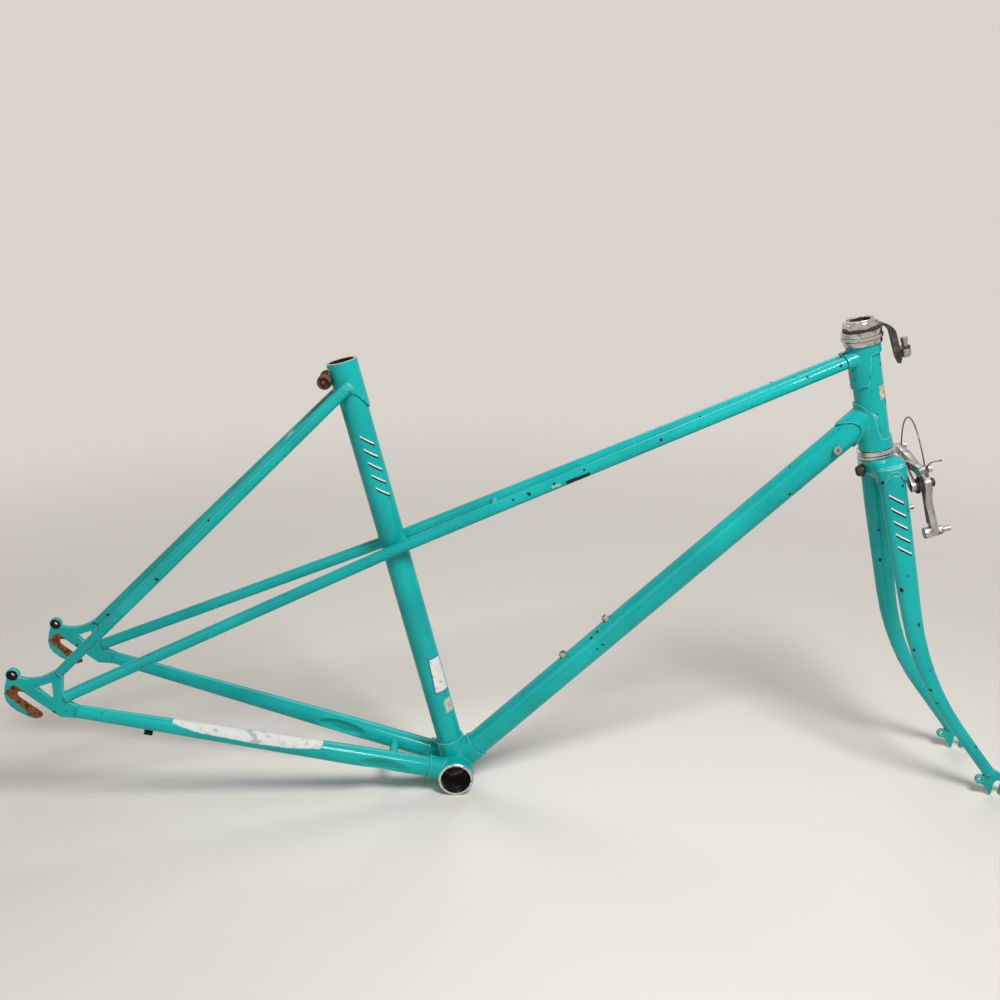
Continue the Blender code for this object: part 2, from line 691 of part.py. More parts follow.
def build_head_lugs(root):
    inner = HEAD_TUBE_OD / 2 + FIT_GAP
    outer = inner + LUG_WALL
    top = HEAD_TUBE_LENGTH - FIT_GAP

    def upper_edge(turn):
        return HEAD_TUBE_LENGTH - lug_edge(turn, UPPER_LUG_FRONT, UPPER_LUG_REAR, UPPER_LUG_STEP)

    def lower_edge(turn):
        return lug_edge(turn, LOWER_LUG_FRONT, LOWER_LUG_REAR, LOWER_LUG_STEP)

    def socket_edge(turn):
        lean = math.asin(math.sin(turn)) + DOWN_LUG_TILT
        return DOWN_LUG_SIDE + (DOWN_LUG_POINT - DOWN_LUG_SIDE) * abs(math.sin(lean)) ** DOWN_LUG_POWER

    upper = collar("upper_head_lug", headFoot, headUp, inner / 2, outer, upper_edge, lambda turn: top,
                   LUG_SIDES, gather=LUG_GATHER)
    socket_od = LATERAL_OD + 2 * (FIT_GAP + LUG_WALL)
    for side in SIDE_NAMES:
        front, backward = lateral_start(side)
        lip = front + backward * LATERAL_SOCKET
        combine(upper, rod("socket", front, lip, socket_od, phase=SOCKET_PHASE), "UNION")
    for side in SIDE_NAMES:
        front, backward = lateral_start(side)
        ahead = front - backward * CUT_OVERRUN / 2
        beyond = front + backward * LATERAL_SOCKET * 2
        combine(upper, cutter(ahead, beyond, LATERAL_OD + 2 * FIT_GAP), "DIFFERENCE")
    combine(upper, head_cutter(), "DIFFERENCE")
    finish(upper, PAINT, root)

    meeting = meet(crossing, downUp, headFoot, headUp)
    lower = collar("lower_head_lug", headFoot, headUp, inner / 2, outer, lambda turn: FIT_GAP, lower_edge,
                   LUG_SIDES, gather=LUG_GATHER)
    radius = MAIN_TUBE_OD / 2 + FIT_GAP + LUG_WALL
    socket = collar("socket", meeting, -downUp, radius / 2, radius, lambda turn: 0, socket_edge,
                    LUG_SIDES, gather=LUG_GATHER)
    combine(lower, socket, "UNION")
    ahead = meeting + downUp * CUT_OVERRUN / 2
    beyond = meeting - downUp * DOWN_LUG_POINT * 2
    combine(lower, cutter(ahead, beyond, MAIN_TUBE_OD + 2 * FIT_GAP), "DIFFERENCE")
    combine(lower, head_cutter(), "DIFFERENCE")
    finish(lower, PAINT, root)


def build_seat_lug(root):
    inner = MAIN_TUBE_OD / 2 + FIT_GAP
    outer = inner + LUG_WALL
    forward = forward_of(seatUp)
    binder = seatRim - forward * BINDER_BACK - seatUp * BINDER_DROP
    ear_end = SEAT_SLIT_WIDTH / 2 + BINDER_EAR_LENGTH

    def low_edge(turn):
        return -SEAT_LUG_HEIGHT - SEAT_LUG_POINT * max(0.0, -math.sin(turn)) ** SEAT_LUG_POWER

    def place(a, b, depth):
        return seatRim + forward * a + seatUp * b + ACROSS * depth

    lug = collar("seat_lug", seatRim, seatUp, inner / 2, outer, low_edge, lambda turn: 0)
    half = BINDER_EAR_OD * 0.42
    web = [(-BINDER_BACK, -BINDER_DROP - half), (0, -BINDER_DROP - half * 1.6)]
    web += [(0, -BINDER_DROP + half * 1.5), (-BINDER_BACK, -BINDER_DROP + half)]
    combine(lug, plate("web", web, [], place, ear_end * 1.5), "UNION")
    reach = ACROSS * ear_end
    combine(lug, rod("ear", binder - reach, binder + reach, BINDER_EAR_OD, phase=SOCKET_PHASE), "UNION")
    bore_end = seatRim - seatUp * (SEAT_LUG_HEIGHT + SEAT_LUG_POINT + CUT_OVERRUN)
    combine(lug, cutter(bore_end, seatRim + seatUp * CUT_OVERRUN, inner * 2), "DIFFERENCE")
    combine(lug, seat_slit(), "DIFFERENCE")
    bolt_hole = cutter(binder - reach * 2, binder + reach * 2, BINDER_BOLT_OD + 2 * FIT_GAP)
    combine(lug, bolt_hole, "DIFFERENCE")
    finish(lug, PAINT, root)

    radius = BINDER_BOLT_OD / 2
    head = BINDER_HEAD_OD / 2
    seat = ear_end + FIT_GAP
    top = seat + BINDER_HEAD_LENGTH
    shoulder = top - BINDER_HEAD_LENGTH * 0.35
    floor = top - BINDER_RECESS
    tip = top - BOLT_SHORT
    ring = BINDER_RECESS_OD / 2
    centre = BINDER_CENTRE_OD / 2
    profile = [(0, -top), (centre, -top), (centre, -floor), (ring, -floor), (ring, -top)]
    profile += [(head * 0.85, -top), (head, -shoulder), (head, -seat)]
    profile += [(radius, -seat), (radius, tip), (0, tip)]
    finish(turned("seat_binder_bolt", binder, ACROSS, profile, 24), RUSTY, root)
    hole = radius + FIT_GAP
    profile = [(hole, seat), (head, seat), (head, shoulder), (head * 0.85, top), (hole, top)]
    finish(turned("seat_binder_nut", binder, ACROSS, profile, 24), RUSTY, root)


def build_seat_stays(root):
    radius = SEAT_STAY_OD / 2
    tip = SEAT_STAY_TIP_OD / 2
    between = (radius + tip) / 2
    vent = SEAT_STAY_VENT_OD / 2
    ends = []
    for side, name in SIDE_NAMES.items():
        foot, top = seat_stay_line(side)
        along = (foot - top).normalized()
        high = -SEAT_STAY_CAP
        cap = [(0, high / 2), (vent, high / 2), (vent, high), (radius * 0.6, high)]
        cap += [(radius * 0.88, high * 0.8), (radius, high * 0.4), (radius, 0), (0, 0)]
        finish(turned("seat_stay_cap_" + name, top, along, cap, STAY_SIDES), PAINT, root)
        end = foot - Vector((along.x, 0, along.z)).normalized() * FIT_GAP
        taper = foot - along * SEAT_STAY_TAPER
        path = [top + along * FIT_GAP, taper, (taper + end) / 2, end]
        sizes = [(radius, radius), (radius, radius), (between, between), (tip, tip)]
        finish(tube("seat_stay_" + name, path, sizes, SEAT_STAY_WALL, STAY_SIDES), PAINT, root)
        ends.append(foot - along * SEAT_BRIDGE_AT)

    bore = BRIDGE_OD - 2 * SEAT_STAY_WALL
    bridge = rod("seat_stay_bridge", ends[0], ends[1], BRIDGE_OD, bore, STAY_SIDES)
    for side in SIDE_NAMES:
        foot, top = seat_stay_line(side)
        combine(bridge, cutter(foot, top, SEAT_STAY_OD + 2 * FIT_GAP), "DIFFERENCE")
    finish(bridge, PAINT, root)


def dent_depth(distance, centre, length, depth):
    share = min(1.0, abs(distance - centre) / (length / 2))
    return depth * math.cos(share * math.pi / 2) ** 2


def chain_stay_radius(travel, length):
    taper = max(0.0, (travel - length + CHAIN_STAY_TAPER) / CHAIN_STAY_TAPER)
    return (CHAIN_STAY_OD + (CHAIN_STAY_TIP_OD - CHAIN_STAY_OD) * taper) / 2


def build_chain_stays(root):
    ends = []
    for side, name in SIDE_NAMES.items():
        start, end = chain_stay_line(side)
        along = (end - start).normalized()
        end = end - along * FIT_GAP
        length = (end - start).length
        path = []
        sizes = []
        dents = []
        outward = 0 if side > 0 else math.pi
        for step in range(CHAIN_STAY_STEPS + 1):
            travel = length * step / CHAIN_STAY_STEPS
            point = start + along * travel
            radius = chain_stay_radius(travel, length)
            crank = dent_depth(-point.x, CRANK_DENT_AT, CRANK_DENT_LENGTH, CRANK_DENT_DEPTH)
            tyre = dent_depth(-point.x, TYRE_DENT_AT, TYRE_DENT_LENGTH, TYRE_DENT_DEPTH)
            path.append(point)
            sizes.append((radius, radius))
            dents.append(((outward, crank), (math.pi - outward, tyre)))
        stay = tube("chain_stay_" + name, path, sizes, CHAIN_STAY_WALL, STAY_SIDES, True, dents)
        finish(stay, PAINT, root)
        ends.append(start + along * ((-CHAIN_BRIDGE_AT - start.x) / along.x))

    bore = BRIDGE_OD - 2 * CHAIN_STAY_WALL
    bridge = rod("chain_stay_bridge", ends[0], ends[1], BRIDGE_OD, bore, STAY_SIDES)
    for side in SIDE_NAMES:
        start, end = chain_stay_line(side)
        combine(bridge, cutter(start, end, CHAIN_STAY_OD + 2 * FIT_GAP), "DIFFERENCE")
    finish(bridge, PAINT, root)


def build_lateral_bridge(root):
    ends = []
    for side in SIDE_NAMES:
        front, middle, rear = lateral_line(side)
        along = (front - middle).normalized()
        ends.append(middle + along * (LATERAL_BRIDGE_AT / along.x))
    bridge = rod("lateral_bridge", ends[0], ends[1], LATERAL_BRIDGE_OD, sides=STAY_SIDES)
    for side in SIDE_NAMES:
        front, middle, rear = lateral_line(side)
        combine(bridge, cutter(middle, front, LATERAL_OD + 2 * FIT_GAP), "DIFFERENCE")
    finish(bridge, PAINT, root)


def build_rear_dropouts(root):
    for side, name in SIDE_NAMES.items():
        outline, window = rear_outline(side)
        bore = circle((REAR_EYELET_X, REAR_EYELET_Z), EYELET_BORE)
        middle = rearAxle + ACROSS * side * rearPlateY
        dropout = plate("rear_dropout_" + name, outline, [bore, window],
                        lambda a, b, depth: middle + Vector((a, depth, b)), REAR_PLATE)
        finish(dropout, PAINT, root)


def tab_corners(centre, direction, half):
    """The two corners of a tab where a stay of that direction ends, right hand first."""
    flat = Vector((direction.x, direction.z)).normalized()
    aside = Vector((-flat.y, flat.x)) * half
    return tuple(centre - aside), tuple(centre + aside)


def in_mm(points):
    return [(a * MM, b * MM) for a, b in points]


def rear_outline(side):
    angle = math.degrees(REAR_SLOT_ANGLE)
    along = Vector((math.cos(REAR_SLOT_ANGLE), math.sin(REAR_SLOT_ANGLE)))
    across = Vector((-along.y, along.x)) * REAR_SLOT / 2
    stay_start, stay_end = chain_stay_line(side)
    chain_centre = Vector((CHAIN_TAB_X, CHAIN_TAB_Z))
    chain = tab_corners(chain_centre, stay_start - stay_end, CHAIN_STAY_TIP_OD / 2)
    front, middle, rear = lateral_line(side)
    lateral_centre = Vector((rear.x - rearAxle.x, rear.z - rearAxle.z))
    lateral = tab_corners(lateral_centre, middle - rear, LATERAL_OD / 2)
    foot, top = seat_stay_line(side)
    seat = tab_corners(Vector((SEAT_TAB_X, SEAT_TAB_Z)), top - foot, SEAT_STAY_TIP_OD / 2)
    eyelet = arc((REAR_EYELET_X, REAR_EYELET_Z), REAR_EYELET_OD / 2, -15, 215, 10)
    outline = [tuple(along * REAR_LIP_LENGTH - across)]
    outline += arc((0, 0), REAR_SLOT / 2, angle - 90, angle - 270, 10)
    outline += [tuple(along * REAR_SLOT_LENGTH + across)] + in_mm([REAR_CHIN])
    outline += [*chain, *lateral, *seat]
    outline += in_mm(REAR_TOP) + eyelet + in_mm(REAR_HOOK)
    return outline, in_mm(REAR_WINDOW)


def build_shell(root):
    half = SHELL_WIDTH / 2
    radius = SHELL_OD / 2
    face = radius - SHELL_CHAMFER
    edge = half - SHELL_CHAMFER
    profile = [(0, -half), (face, -half), (radius, -edge), (radius, edge), (face, half), (0, half)]
    shell = turned("bottom_bracket_shell", Vector(), ACROSS, profile, SHELL_SIDES)
    socket_od = MAIN_TUBE_OD + 2 * (FIT_GAP + LUG_WALL)
    stay_socket_od = CHAIN_STAY_OD + 2 * (FIT_GAP + LUG_WALL)
    tubes = ((seatUp, SEAT_SOCKET_END), (downUp, DOWN_SOCKET_END))
    for direction, end in tubes:
        lip = crossing + direction * end
        combine(shell, rod("socket", crossing, lip, socket_od, phase=SOCKET_PHASE), "UNION")
    for side in SIDE_NAMES:
        start, end = chain_stay_line(side)
        along = (end - start).normalized()
        inside = start - along * STAY_SEAT * 3
        lip = start + along * (STAY_SOCKET_END - radius)
        combine(shell, rod("socket", inside, lip, stay_socket_od, phase=SOCKET_PHASE), "UNION")
    for direction, end in tubes:
        base = crossing + direction * (SOCKET_START - FIT_GAP)
        beyond = crossing + direction * end * 2
        combine(shell, cutter(base, beyond, MAIN_TUBE_OD + 2 * FIT_GAP), "DIFFERENCE")
    for side in SIDE_NAMES:
        start, end = chain_stay_line(side)
        along = (end - start).normalized()
        base = start - along * FIT_GAP
        beyond = start + along * STAY_SOCKET_END
        combine(shell, cutter(base, beyond, CHAIN_STAY_OD + 2 * FIT_GAP), "DIFFERENCE")
    combine(shell, cutter(-ACROSS * SHELL_WIDTH, ACROSS * SHELL_WIDTH, SHELL_BORE, SHELL_SIDES), "DIFFERENCE")
    finish(shell, PAINT, root)


def build_cable_stop(root):
    start, end = chain_stay_line(-1)
    along = (end - start).normalized()
    travel = (-CABLE_STOP_AT - start.x) / along.x
    stay_radius = chain_stay_radius(travel, (end - start).length)
    below = Vector((along.z, 0, -along.x)).normalized()
    if below.z > 0:
        below = -below
    stop = start + along * travel + below * (stay_radius + CABLE_STOP_OD / 2 + FIT_GAP * 1.5)
    reach = along * CABLE_STOP_LENGTH / 2
    finish(rod("cable_stop", stop - reach, stop + reach, CABLE_STOP_OD, CABLE_STOP_BORE, 16), PAINT, root)


def build_bosses(root):
    above = Vector((-downUp.z, 0, downUp.x))
    surface = MAIN_TUBE_OD / 2
    buried = surface * 0.7
    hole = BOTTLE_SOCKET_OD / 2
    tube_end = crossing + downUp * SHIFT_BOSS_AT * 1.1
    clear = MAIN_TUBE_OD + 2 * FIT_GAP
    for name, travel in (("lower", BOTTLE_BOSS_AT), ("upper", BOTTLE_BOSS_AT + BOTTLE_BOSS_SPACING)):
        top = surface + BOTTLE_BOSS_HEIGHT
        floor = top - BOTTLE_BOSS_HEIGHT * 0.6
        radius = BOTTLE_BOSS_OD / 2
        profile = [(0, buried), (radius, buried), (radius, top - BOTTLE_BOSS_BEVEL), (radius * 0.8, top)]
        profile += [(hole, top), (hole, floor), (0, floor)]
        boss = turned("bottle_boss_" + name, crossing + downUp * travel, above, profile, 16)
        combine(boss, cutter(crossing, tube_end, clear), "DIFFERENCE")
        finish(boss, BARE_STEEL, root)
    for side, name in SIDE_NAMES.items():
        top = surface + SHIFT_BOSS_HEIGHT
        floor = top - SHIFT_BOSS_HEIGHT * 0.6
        radius = SHIFT_BOSS_OD / 2
        profile = [(0, buried), (radius, buried), (radius, top), (hole, top), (hole, floor), (0, floor)]
        boss = turned("shift_boss_" + name, crossing + downUp * SHIFT_BOSS_AT, ACROSS * side, profile, 16)
        combine(boss, cutter(crossing, tube_end, clear), "DIFFERENCE")
        finish(boss, BARE_STEEL, root)


def build_headset(root, steering):
    steerer = STEERER_OD / 2 + FIT_GAP
    rim = CUP_OD / 2
    seat = BALL_RING_OD / 2 + FIT_GAP
    skirt = HEAD_TUBE_OD / 2 - HEAD_TUBE_WALL - FIT_GAP
    clear = steerer + FIT_GAP
    head_top = headFoot + headUp * HEAD_TUBE_LENGTH

    def cup(name, origin, axis):
        high = FIT_GAP + CUP_HEIGHT
        floor = high - CUP_RECESS
        profile = [(clear, -CUP_SKIRT), (skirt, -CUP_SKIRT), (skirt, FIT_GAP), (rim, FIT_GAP), (rim, high)]
        profile += [(seat, high), (seat, floor), (clear, floor)]
        finish(turned(name, origin, axis, profile, RING_SIDES), CHROME, root)

    def ball_ring(name, origin, axis):
        low = FIT_GAP + CUP_HEIGHT - CUP_RECESS + FIT_GAP
        high = low + BALL_RING_HEIGHT
        outer = BALL_RING_OD / 2
        inner = BALL_RING_BORE / 2
        profile = [(inner, low), (outer, low), (outer, high), (inner, high)]
        finish(turned(name, origin, axis, profile, RING_SIDES), DARK_STEEL, root)
        return high + FIT_GAP

    cup("lower_headset_cup", headFoot, -headUp)
    cup("upper_headset_cup", head_top, headUp)
    race_floor = ball_ring("lower_ball_ring", headFoot, -headUp)
    ball_ring("upper_ball_ring", head_top, headUp)

    lip = FIT_GAP + CUP_HEIGHT + RACE_GAP
    outer = CROWN_RACE_OD / 2
    high = lip + CROWN_RACE_HEIGHT
    under = [(steerer, race_floor), (seat, race_floor), (seat, lip)]
    profile = under + [(outer, lip), (outer, high), (steerer, high)]
    finish(turned("crown_race", headFoot, -headUp, profile, RING_SIDES), CHROME, steering)

    outer = TOP_RACE_OD / 2
    groove = TOP_RACE_GROOVE_OD / 2
    band_radius = TOP_RACE_BAND_OD / 2
    flange_top = lip + TOP_RACE_FLANGE
    band_low = flange_top + TOP_RACE_GROOVE
    high = band_low + TOP_RACE_BAND
    profile = under + [(outer, lip), (outer, flange_top), (groove, flange_top), (groove, band_low)]
    profile += [(band_radius, band_low), (band_radius, high), (steerer, high)]
    finish(turned("top_race", head_top, headUp, profile, RING_SIDES), CHROME, steering)
    return head_top + headUp * (high + FIT_GAP)


def build_hanger(steering, adjusting, base):
    inner = STEERER_OD / 2 + FIT_GAP
    outer = HANGER_RING_OD / 2
    half = HANGER_PLATE / 2
    profile = [(inner, 0), (outer, 0), (outer, HANGER_PLATE), (inner, HANGER_PLATE)]
    hanger = turned("cable_hanger", base, headUp, profile, RING_SIDES)
    slope = HANGER_REACH * 0.1
    point_reach = HANGER_REACH + slope * (1 - HANGER_POINT / HANGER_DROP)
    centres = [(outer * 0.82, half), (HANGER_REACH * 0.7, half), (HANGER_REACH * 0.88, -HANGER_BEND * 0.28)]
    centres += [(HANGER_REACH * 0.97, -HANGER_BEND * 0.62), (HANGER_REACH, -HANGER_BEND)]
    centres += [(point_reach, HANGER_POINT - HANGER_DROP), (HANGER_REACH + slope, -HANGER_DROP)]
    path = smooth_path([base + headForward * reach + headUp * rise for reach, rise in centres], 3)
    rings = []
    for centre, heading in zip(path, tangents(path)):
        left = min(1.0, ((centre - base).dot(headUp) + HANGER_DROP) / HANGER_POINT)
        width = HANGER_WIDTH * (HANGER_POINT_SHARE + (1 - HANGER_POINT_SHARE) * left)
        thick = heading.cross(ACROSS).normalized() * half
        wide = ACROSS * width / 2
        upper = [centre + wide + thick, centre - wide + thick]
        rings.append(upper + [centre - wide - thick, centre + wide - thick])
    combine(hanger, loft("arm", rings, smooth=False), "UNION")
    tab = base - headUp * HANGER_TAB_DROP + headForward * (HANGER_REACH + slope * 0.4)
    side = HANGER_TAB_WIDTH / 2

    def place(a, b, depth):
        return tab + headForward * a + ACROSS * b + headUp * depth

    outline = [(0, -side)] + arc((HANGER_TAB_REACH, 0), side, -90, 90, 8) + [(0, side)]
    combine(hanger, plate("tab", outline, [], place, HANGER_PLATE), "UNION")
    hole = tab + headForward * HANGER_TAB_REACH
    reach = headUp * ADJUSTER_ABOVE
    combine(hanger, cutter(hole - reach, hole + reach, ADJUSTER_OD + 2 * RUNNING_GAP, 16), "DIFFERENCE")
    finish(hanger, DARK_STEEL, steering)

    adjusting.location = hole
    radius = ADJUSTER_OD / 2
    rim = ADJUSTER_RIM_OD / 2
    knob = ADJUSTER_KNOB_OD / 2
    bore = ADJUSTER_BORE / 2
    under = -half - FIT_GAP
    foot = under - ADJUSTER_KNOB_HEIGHT
    rim_low = ADJUSTER_ABOVE - ADJUSTER_RIM_HEIGHT
    profile = [(bore, foot), (knob * 0.7, foot), (knob, foot + ADJUSTER_KNOB_HEIGHT * 0.2), (knob, under)]
    profile += [(radius, under), (radius, rim_low), (rim, rim_low)]
    profile += [(rim, ADJUSTER_ABOVE), (bore, ADJUSTER_ABOVE)]
    finish(turned("adjuster_barrel", hole, headUp, profile, 16), ALLOY, adjusting)


def build_locknut(steering, base):
    nut_base = base + headUp * (HANGER_PLATE + FIT_GAP)
    corner = LOCKNUT_FLATS / 2 / math.cos(math.pi / 6)
    flats_top = LOCKNUT_HEX_HEIGHT
    top = flats_top + LOCKNUT_COLLAR_HEIGHT
    flats = [(0, 0), (corner, 0), (corner, flats_top), (0, flats_top)]
    nut = turned("headset_locknut", nut_base, headUp, flats, 6, False)
    radius = LOCKNUT_COLLAR_OD / 2
    ring = [(0, flats_top / 2), (radius, flats_top / 2), (radius, top - STEERER_SHORT)]
    ring += [(radius * 0.96, top), (0, top)]
    combine(nut, turned("ring", nut_base, headUp, ring, RING_SIDES), "UNION")
    below = nut_base - headUp * CUT_OVERRUN
    combine(nut, cutter(below, nut_base + headUp * top * 2, STEERER_OD + 2 * FIT_GAP), "DIFFERENCE")
    finish(nut, CHROME, steering)
    return nut_base + headUp * (top - STEERER_SHORT)


def blade_line(side):
    """Blade axis points from the crown to the tip, and each point's half width and half depth."""
    top_drop = CROWN_TOP_DROP + BLADE_SEAT
    end_reach = FORK_RAKE - BLADE_END_BACK
    end_drop = FORK_LENGTH - BLADE_END_UP
    sweep = Vector((math.sin(BLADE_SWEEP), math.cos(BLADE_SWEEP)))
    run = (end_reach - BLADE_FORWARD) / sweep.x
    start = Vector((BLADE_FORWARD, BLADE_STRAIGHT))
    corner = Vector((BLADE_FORWARD, end_drop - run * sweep.y))
    tangent = corner.y - BLADE_STRAIGHT
    bend_end = corner + sweep * tangent
    pull = 0.66
    bend = bezier(start, start.lerp(corner, pull), bend_end.lerp(corner, pull), bend_end, 6)
    end = Vector((end_reach, end_drop)) - sweep * FIT_GAP
    straight = [BLADE_TAPER_FROM, (BLADE_TAPER_FROM + BLADE_STRAIGHT) / 2]
    flat = [Vector((BLADE_FORWARD, top_drop))] + [Vector((BLADE_FORWARD, drop)) for drop in straight]
    flat += bend + [bend_end.lerp(end, 0.5), end]
    path = []
    sizes = []
    for reach, drop in flat:
        spread = BLADE_SPREAD + (frontPlateY - BLADE_SPREAD) * (drop - top_drop) / (end_drop - top_drop)
        path.append(head_point(reach, side * spread, -drop))
        share = min(1.0, max(0.0, (drop - BLADE_TAPER_FROM) / BLADE_TAPER))
        tip = BLADE_TIP_OD / 2 * share
        sizes.append((BLADE_WIDTH / 2 * (1 - share) + tip, BLADE_DEPTH / 2 * (1 - share) + tip))
    return path, sizes


def crown_ring(side, half_reach, middle, high, low):
    """A rounded box section of the crown at one place across the fork."""
    corner = min(CROWN_CORNER, half_reach * 0.7, (high - low) * 0.45)
    points = []
    for reach_sign, rise, start in ((1, high, 0), (-1, high, 90), (-1, low, 180), (1, low, 270)):
        inward = -1 if rise == high else 1
        centre = (middle + reach_sign * (half_reach - corner), rise + inward * corner)
        for reach, height in arc(centre, corner, start, start + 90, 3):
            points.append(head_point(reach, side, height))
    return points


def arch_drop(share):
    """The sockets' lower edge below the crown's top, at a share of their half depth from the middle."""
    fall = min(1.0, (share / CROWN_ARCH_SHARE) ** CROWN_ARCH_POWER)
    return CROWN_ARCH_TOP + (CROWN_ARCH_FOOT - CROWN_ARCH_TOP) * fall


def build_crown(steering, steerer_end):
    low = -CROWN_TOP_DROP - CROWN_HEIGHT
    socket_depth = BLADE_DEPTH / 2 + FIT_GAP + LUG_WALL
    socket_width = BLADE_WIDTH / 2 + FIT_GAP + LUG_WALL
    rings = []
    for step in range(-CROWN_STEPS, CROWN_STEPS + 1):
        share = abs(step) / CROWN_STEPS
        sign = 1 if step > 0 else -1
        edge = low
        if share <= 0.5:
            spread = BLADE_SPREAD * share * 2
            half_reach = CROWN_DEPTH / 2 + (socket_depth - CROWN_DEPTH / 2) * share * 2
        else:
            turn = CROWN_END_TURN * (share - 0.5) * 2
            spread = BLADE_SPREAD + socket_width * math.sin(turn)
            half_reach = socket_depth * math.cos(turn)
            edge = max(low, -CROWN_TOP_DROP - arch_drop(math.cos(turn)))
        past = max(0.0, spread - BLADE_SPREAD * 0.6) / (BLADE_SPREAD * 0.4 + socket_width)
        high = -CROWN_TOP_DROP - CROWN_SHOULDER * past ** 2
        middle = BLADE_FORWARD * min(1.0, spread / BLADE_SPREAD)
        rings.append(crown_ring(sign * spread, half_reach, middle, high, edge))
    crown = loft("fork_crown", rings)

    def sleeve_top(turn):
        return -CROWN_HEIGHT * CROWN_SLEEVE_SHARE

    def sleeve_edge(turn):
        return arch_drop(abs(math.sin(turn))) - CROWN_HEIGHT

    for side in SIDE_NAMES:
        path, sizes = blade_line(side)
        along = (path[1] - path[0]).normalized()
        base = path[0] + along * (CROWN_HEIGHT - BLADE_SEAT)
        sleeve = collar("sleeve", base, along, socket_depth / 2, socket_depth, sleeve_top, sleeve_edge,
                        SLEEVE_SIDES, narrow=socket_width / socket_depth)
        combine(crown, sleeve, "UNION")
    for side in SIDE_NAMES:
        path, sizes = blade_line(side)
        along = (path[1] - path[0]).normalized()
        half_width, half_depth = sizes[0]
        rings = []
        for centre in (path[0] - along * FIT_GAP, path[0] + along * CROWN_ARCH_FOOT * 2):
            rings.append(oval_ring(centre, along, half_width + FIT_GAP, half_depth + FIT_GAP, BLADE_SIDES))
        combine(crown, loft("cutter", rings), "DIFFERENCE")
    top = headFoot - headUp * (CROWN_TOP_DROP - CUT_OVERRUN)
    combine(crown, cutter(steerer_end - headUp * FIT_GAP, top, STEERER_OD + 2 * FIT_GAP), "DIFFERENCE")
    bolt = head_point(0, 0, -BRAKE_BOLT_DROP)
    reach = headForward * CROWN_DEPTH
    combine(crown, cutter(bolt - reach, bolt + reach, BRAKE_BOLT_OD + 2 * FIT_GAP, 16), "DIFFERENCE")
    finish(crown, PAINT, steering)


def build_fork(steering, steerer_top):
    steerer_end = headFoot - headUp * (CROWN_TOP_DROP + STEERER_SEAT)
    finish(rod("steerer_tube", steerer_end, steerer_top, STEERER_OD, STEERER_BORE), BARE_STEEL, steering)
    build_crown(steering, steerer_end)
    for side, name in SIDE_NAMES.items():
        path, sizes = blade_line(side)
        finish(tube("fork_blade_" + name, path, sizes, BLADE_WALL, BLADE_SIDES), PAINT, steering)
        bore = circle((FRONT_EYELET_X, FRONT_EYELET_Z), EYELET_BORE)
        middle = frontAxle + ACROSS * side * frontPlateY
        dropout = plate("fork_dropout_" + name, front_outline(), [bore],
                        lambda a, b, depth: middle + Vector((a, depth, b)), FRONT_PLATE)
        finish(dropout, PAINT, steering)


def front_outline():
    half = FRONT_SLOT / 2
    outer = half + FRONT_TINE
    low = -FRONT_SLOT_LENGTH
    end = -headForward * BLADE_END_BACK + headUp * BLADE_END_UP
    sweep = headForward * math.sin(BLADE_SWEEP) - headUp * math.cos(BLADE_SWEEP)
    left, right = tab_corners(Vector((end.x, end.z)), -sweep, BLADE_TIP_OD / 2)
    eyelet = arc((FRONT_EYELET_X, FRONT_EYELET_Z), FRONT_EYELET_OD / 2, 70, 290, 8)
    outline = [(-half, low)]
    outline += arc((0, 0), half, 180, 0, 8)
    outline += [(half, low), (half + FRONT_TINE * 0.45, low), (outer, low * 0.5), (outer, half)]
    outline += [(outer * 0.6, half * 2.4), (-half * 0.6, half * 3.2)]
    outline += [left, right] if left[0] > right[0] else [right, left]
    outline += eyelet
    outline += [(-outer, low * 0.4), (-outer * 0.92, low * 0.7), (-half - FRONT_TINE * 0.35, low)]
    return outline


def at_reach(middle):
    """Places a plate across the steering axis, with its middle that far ahead."""
    return lambda a, b, depth: head_point(middle + depth, a, b)


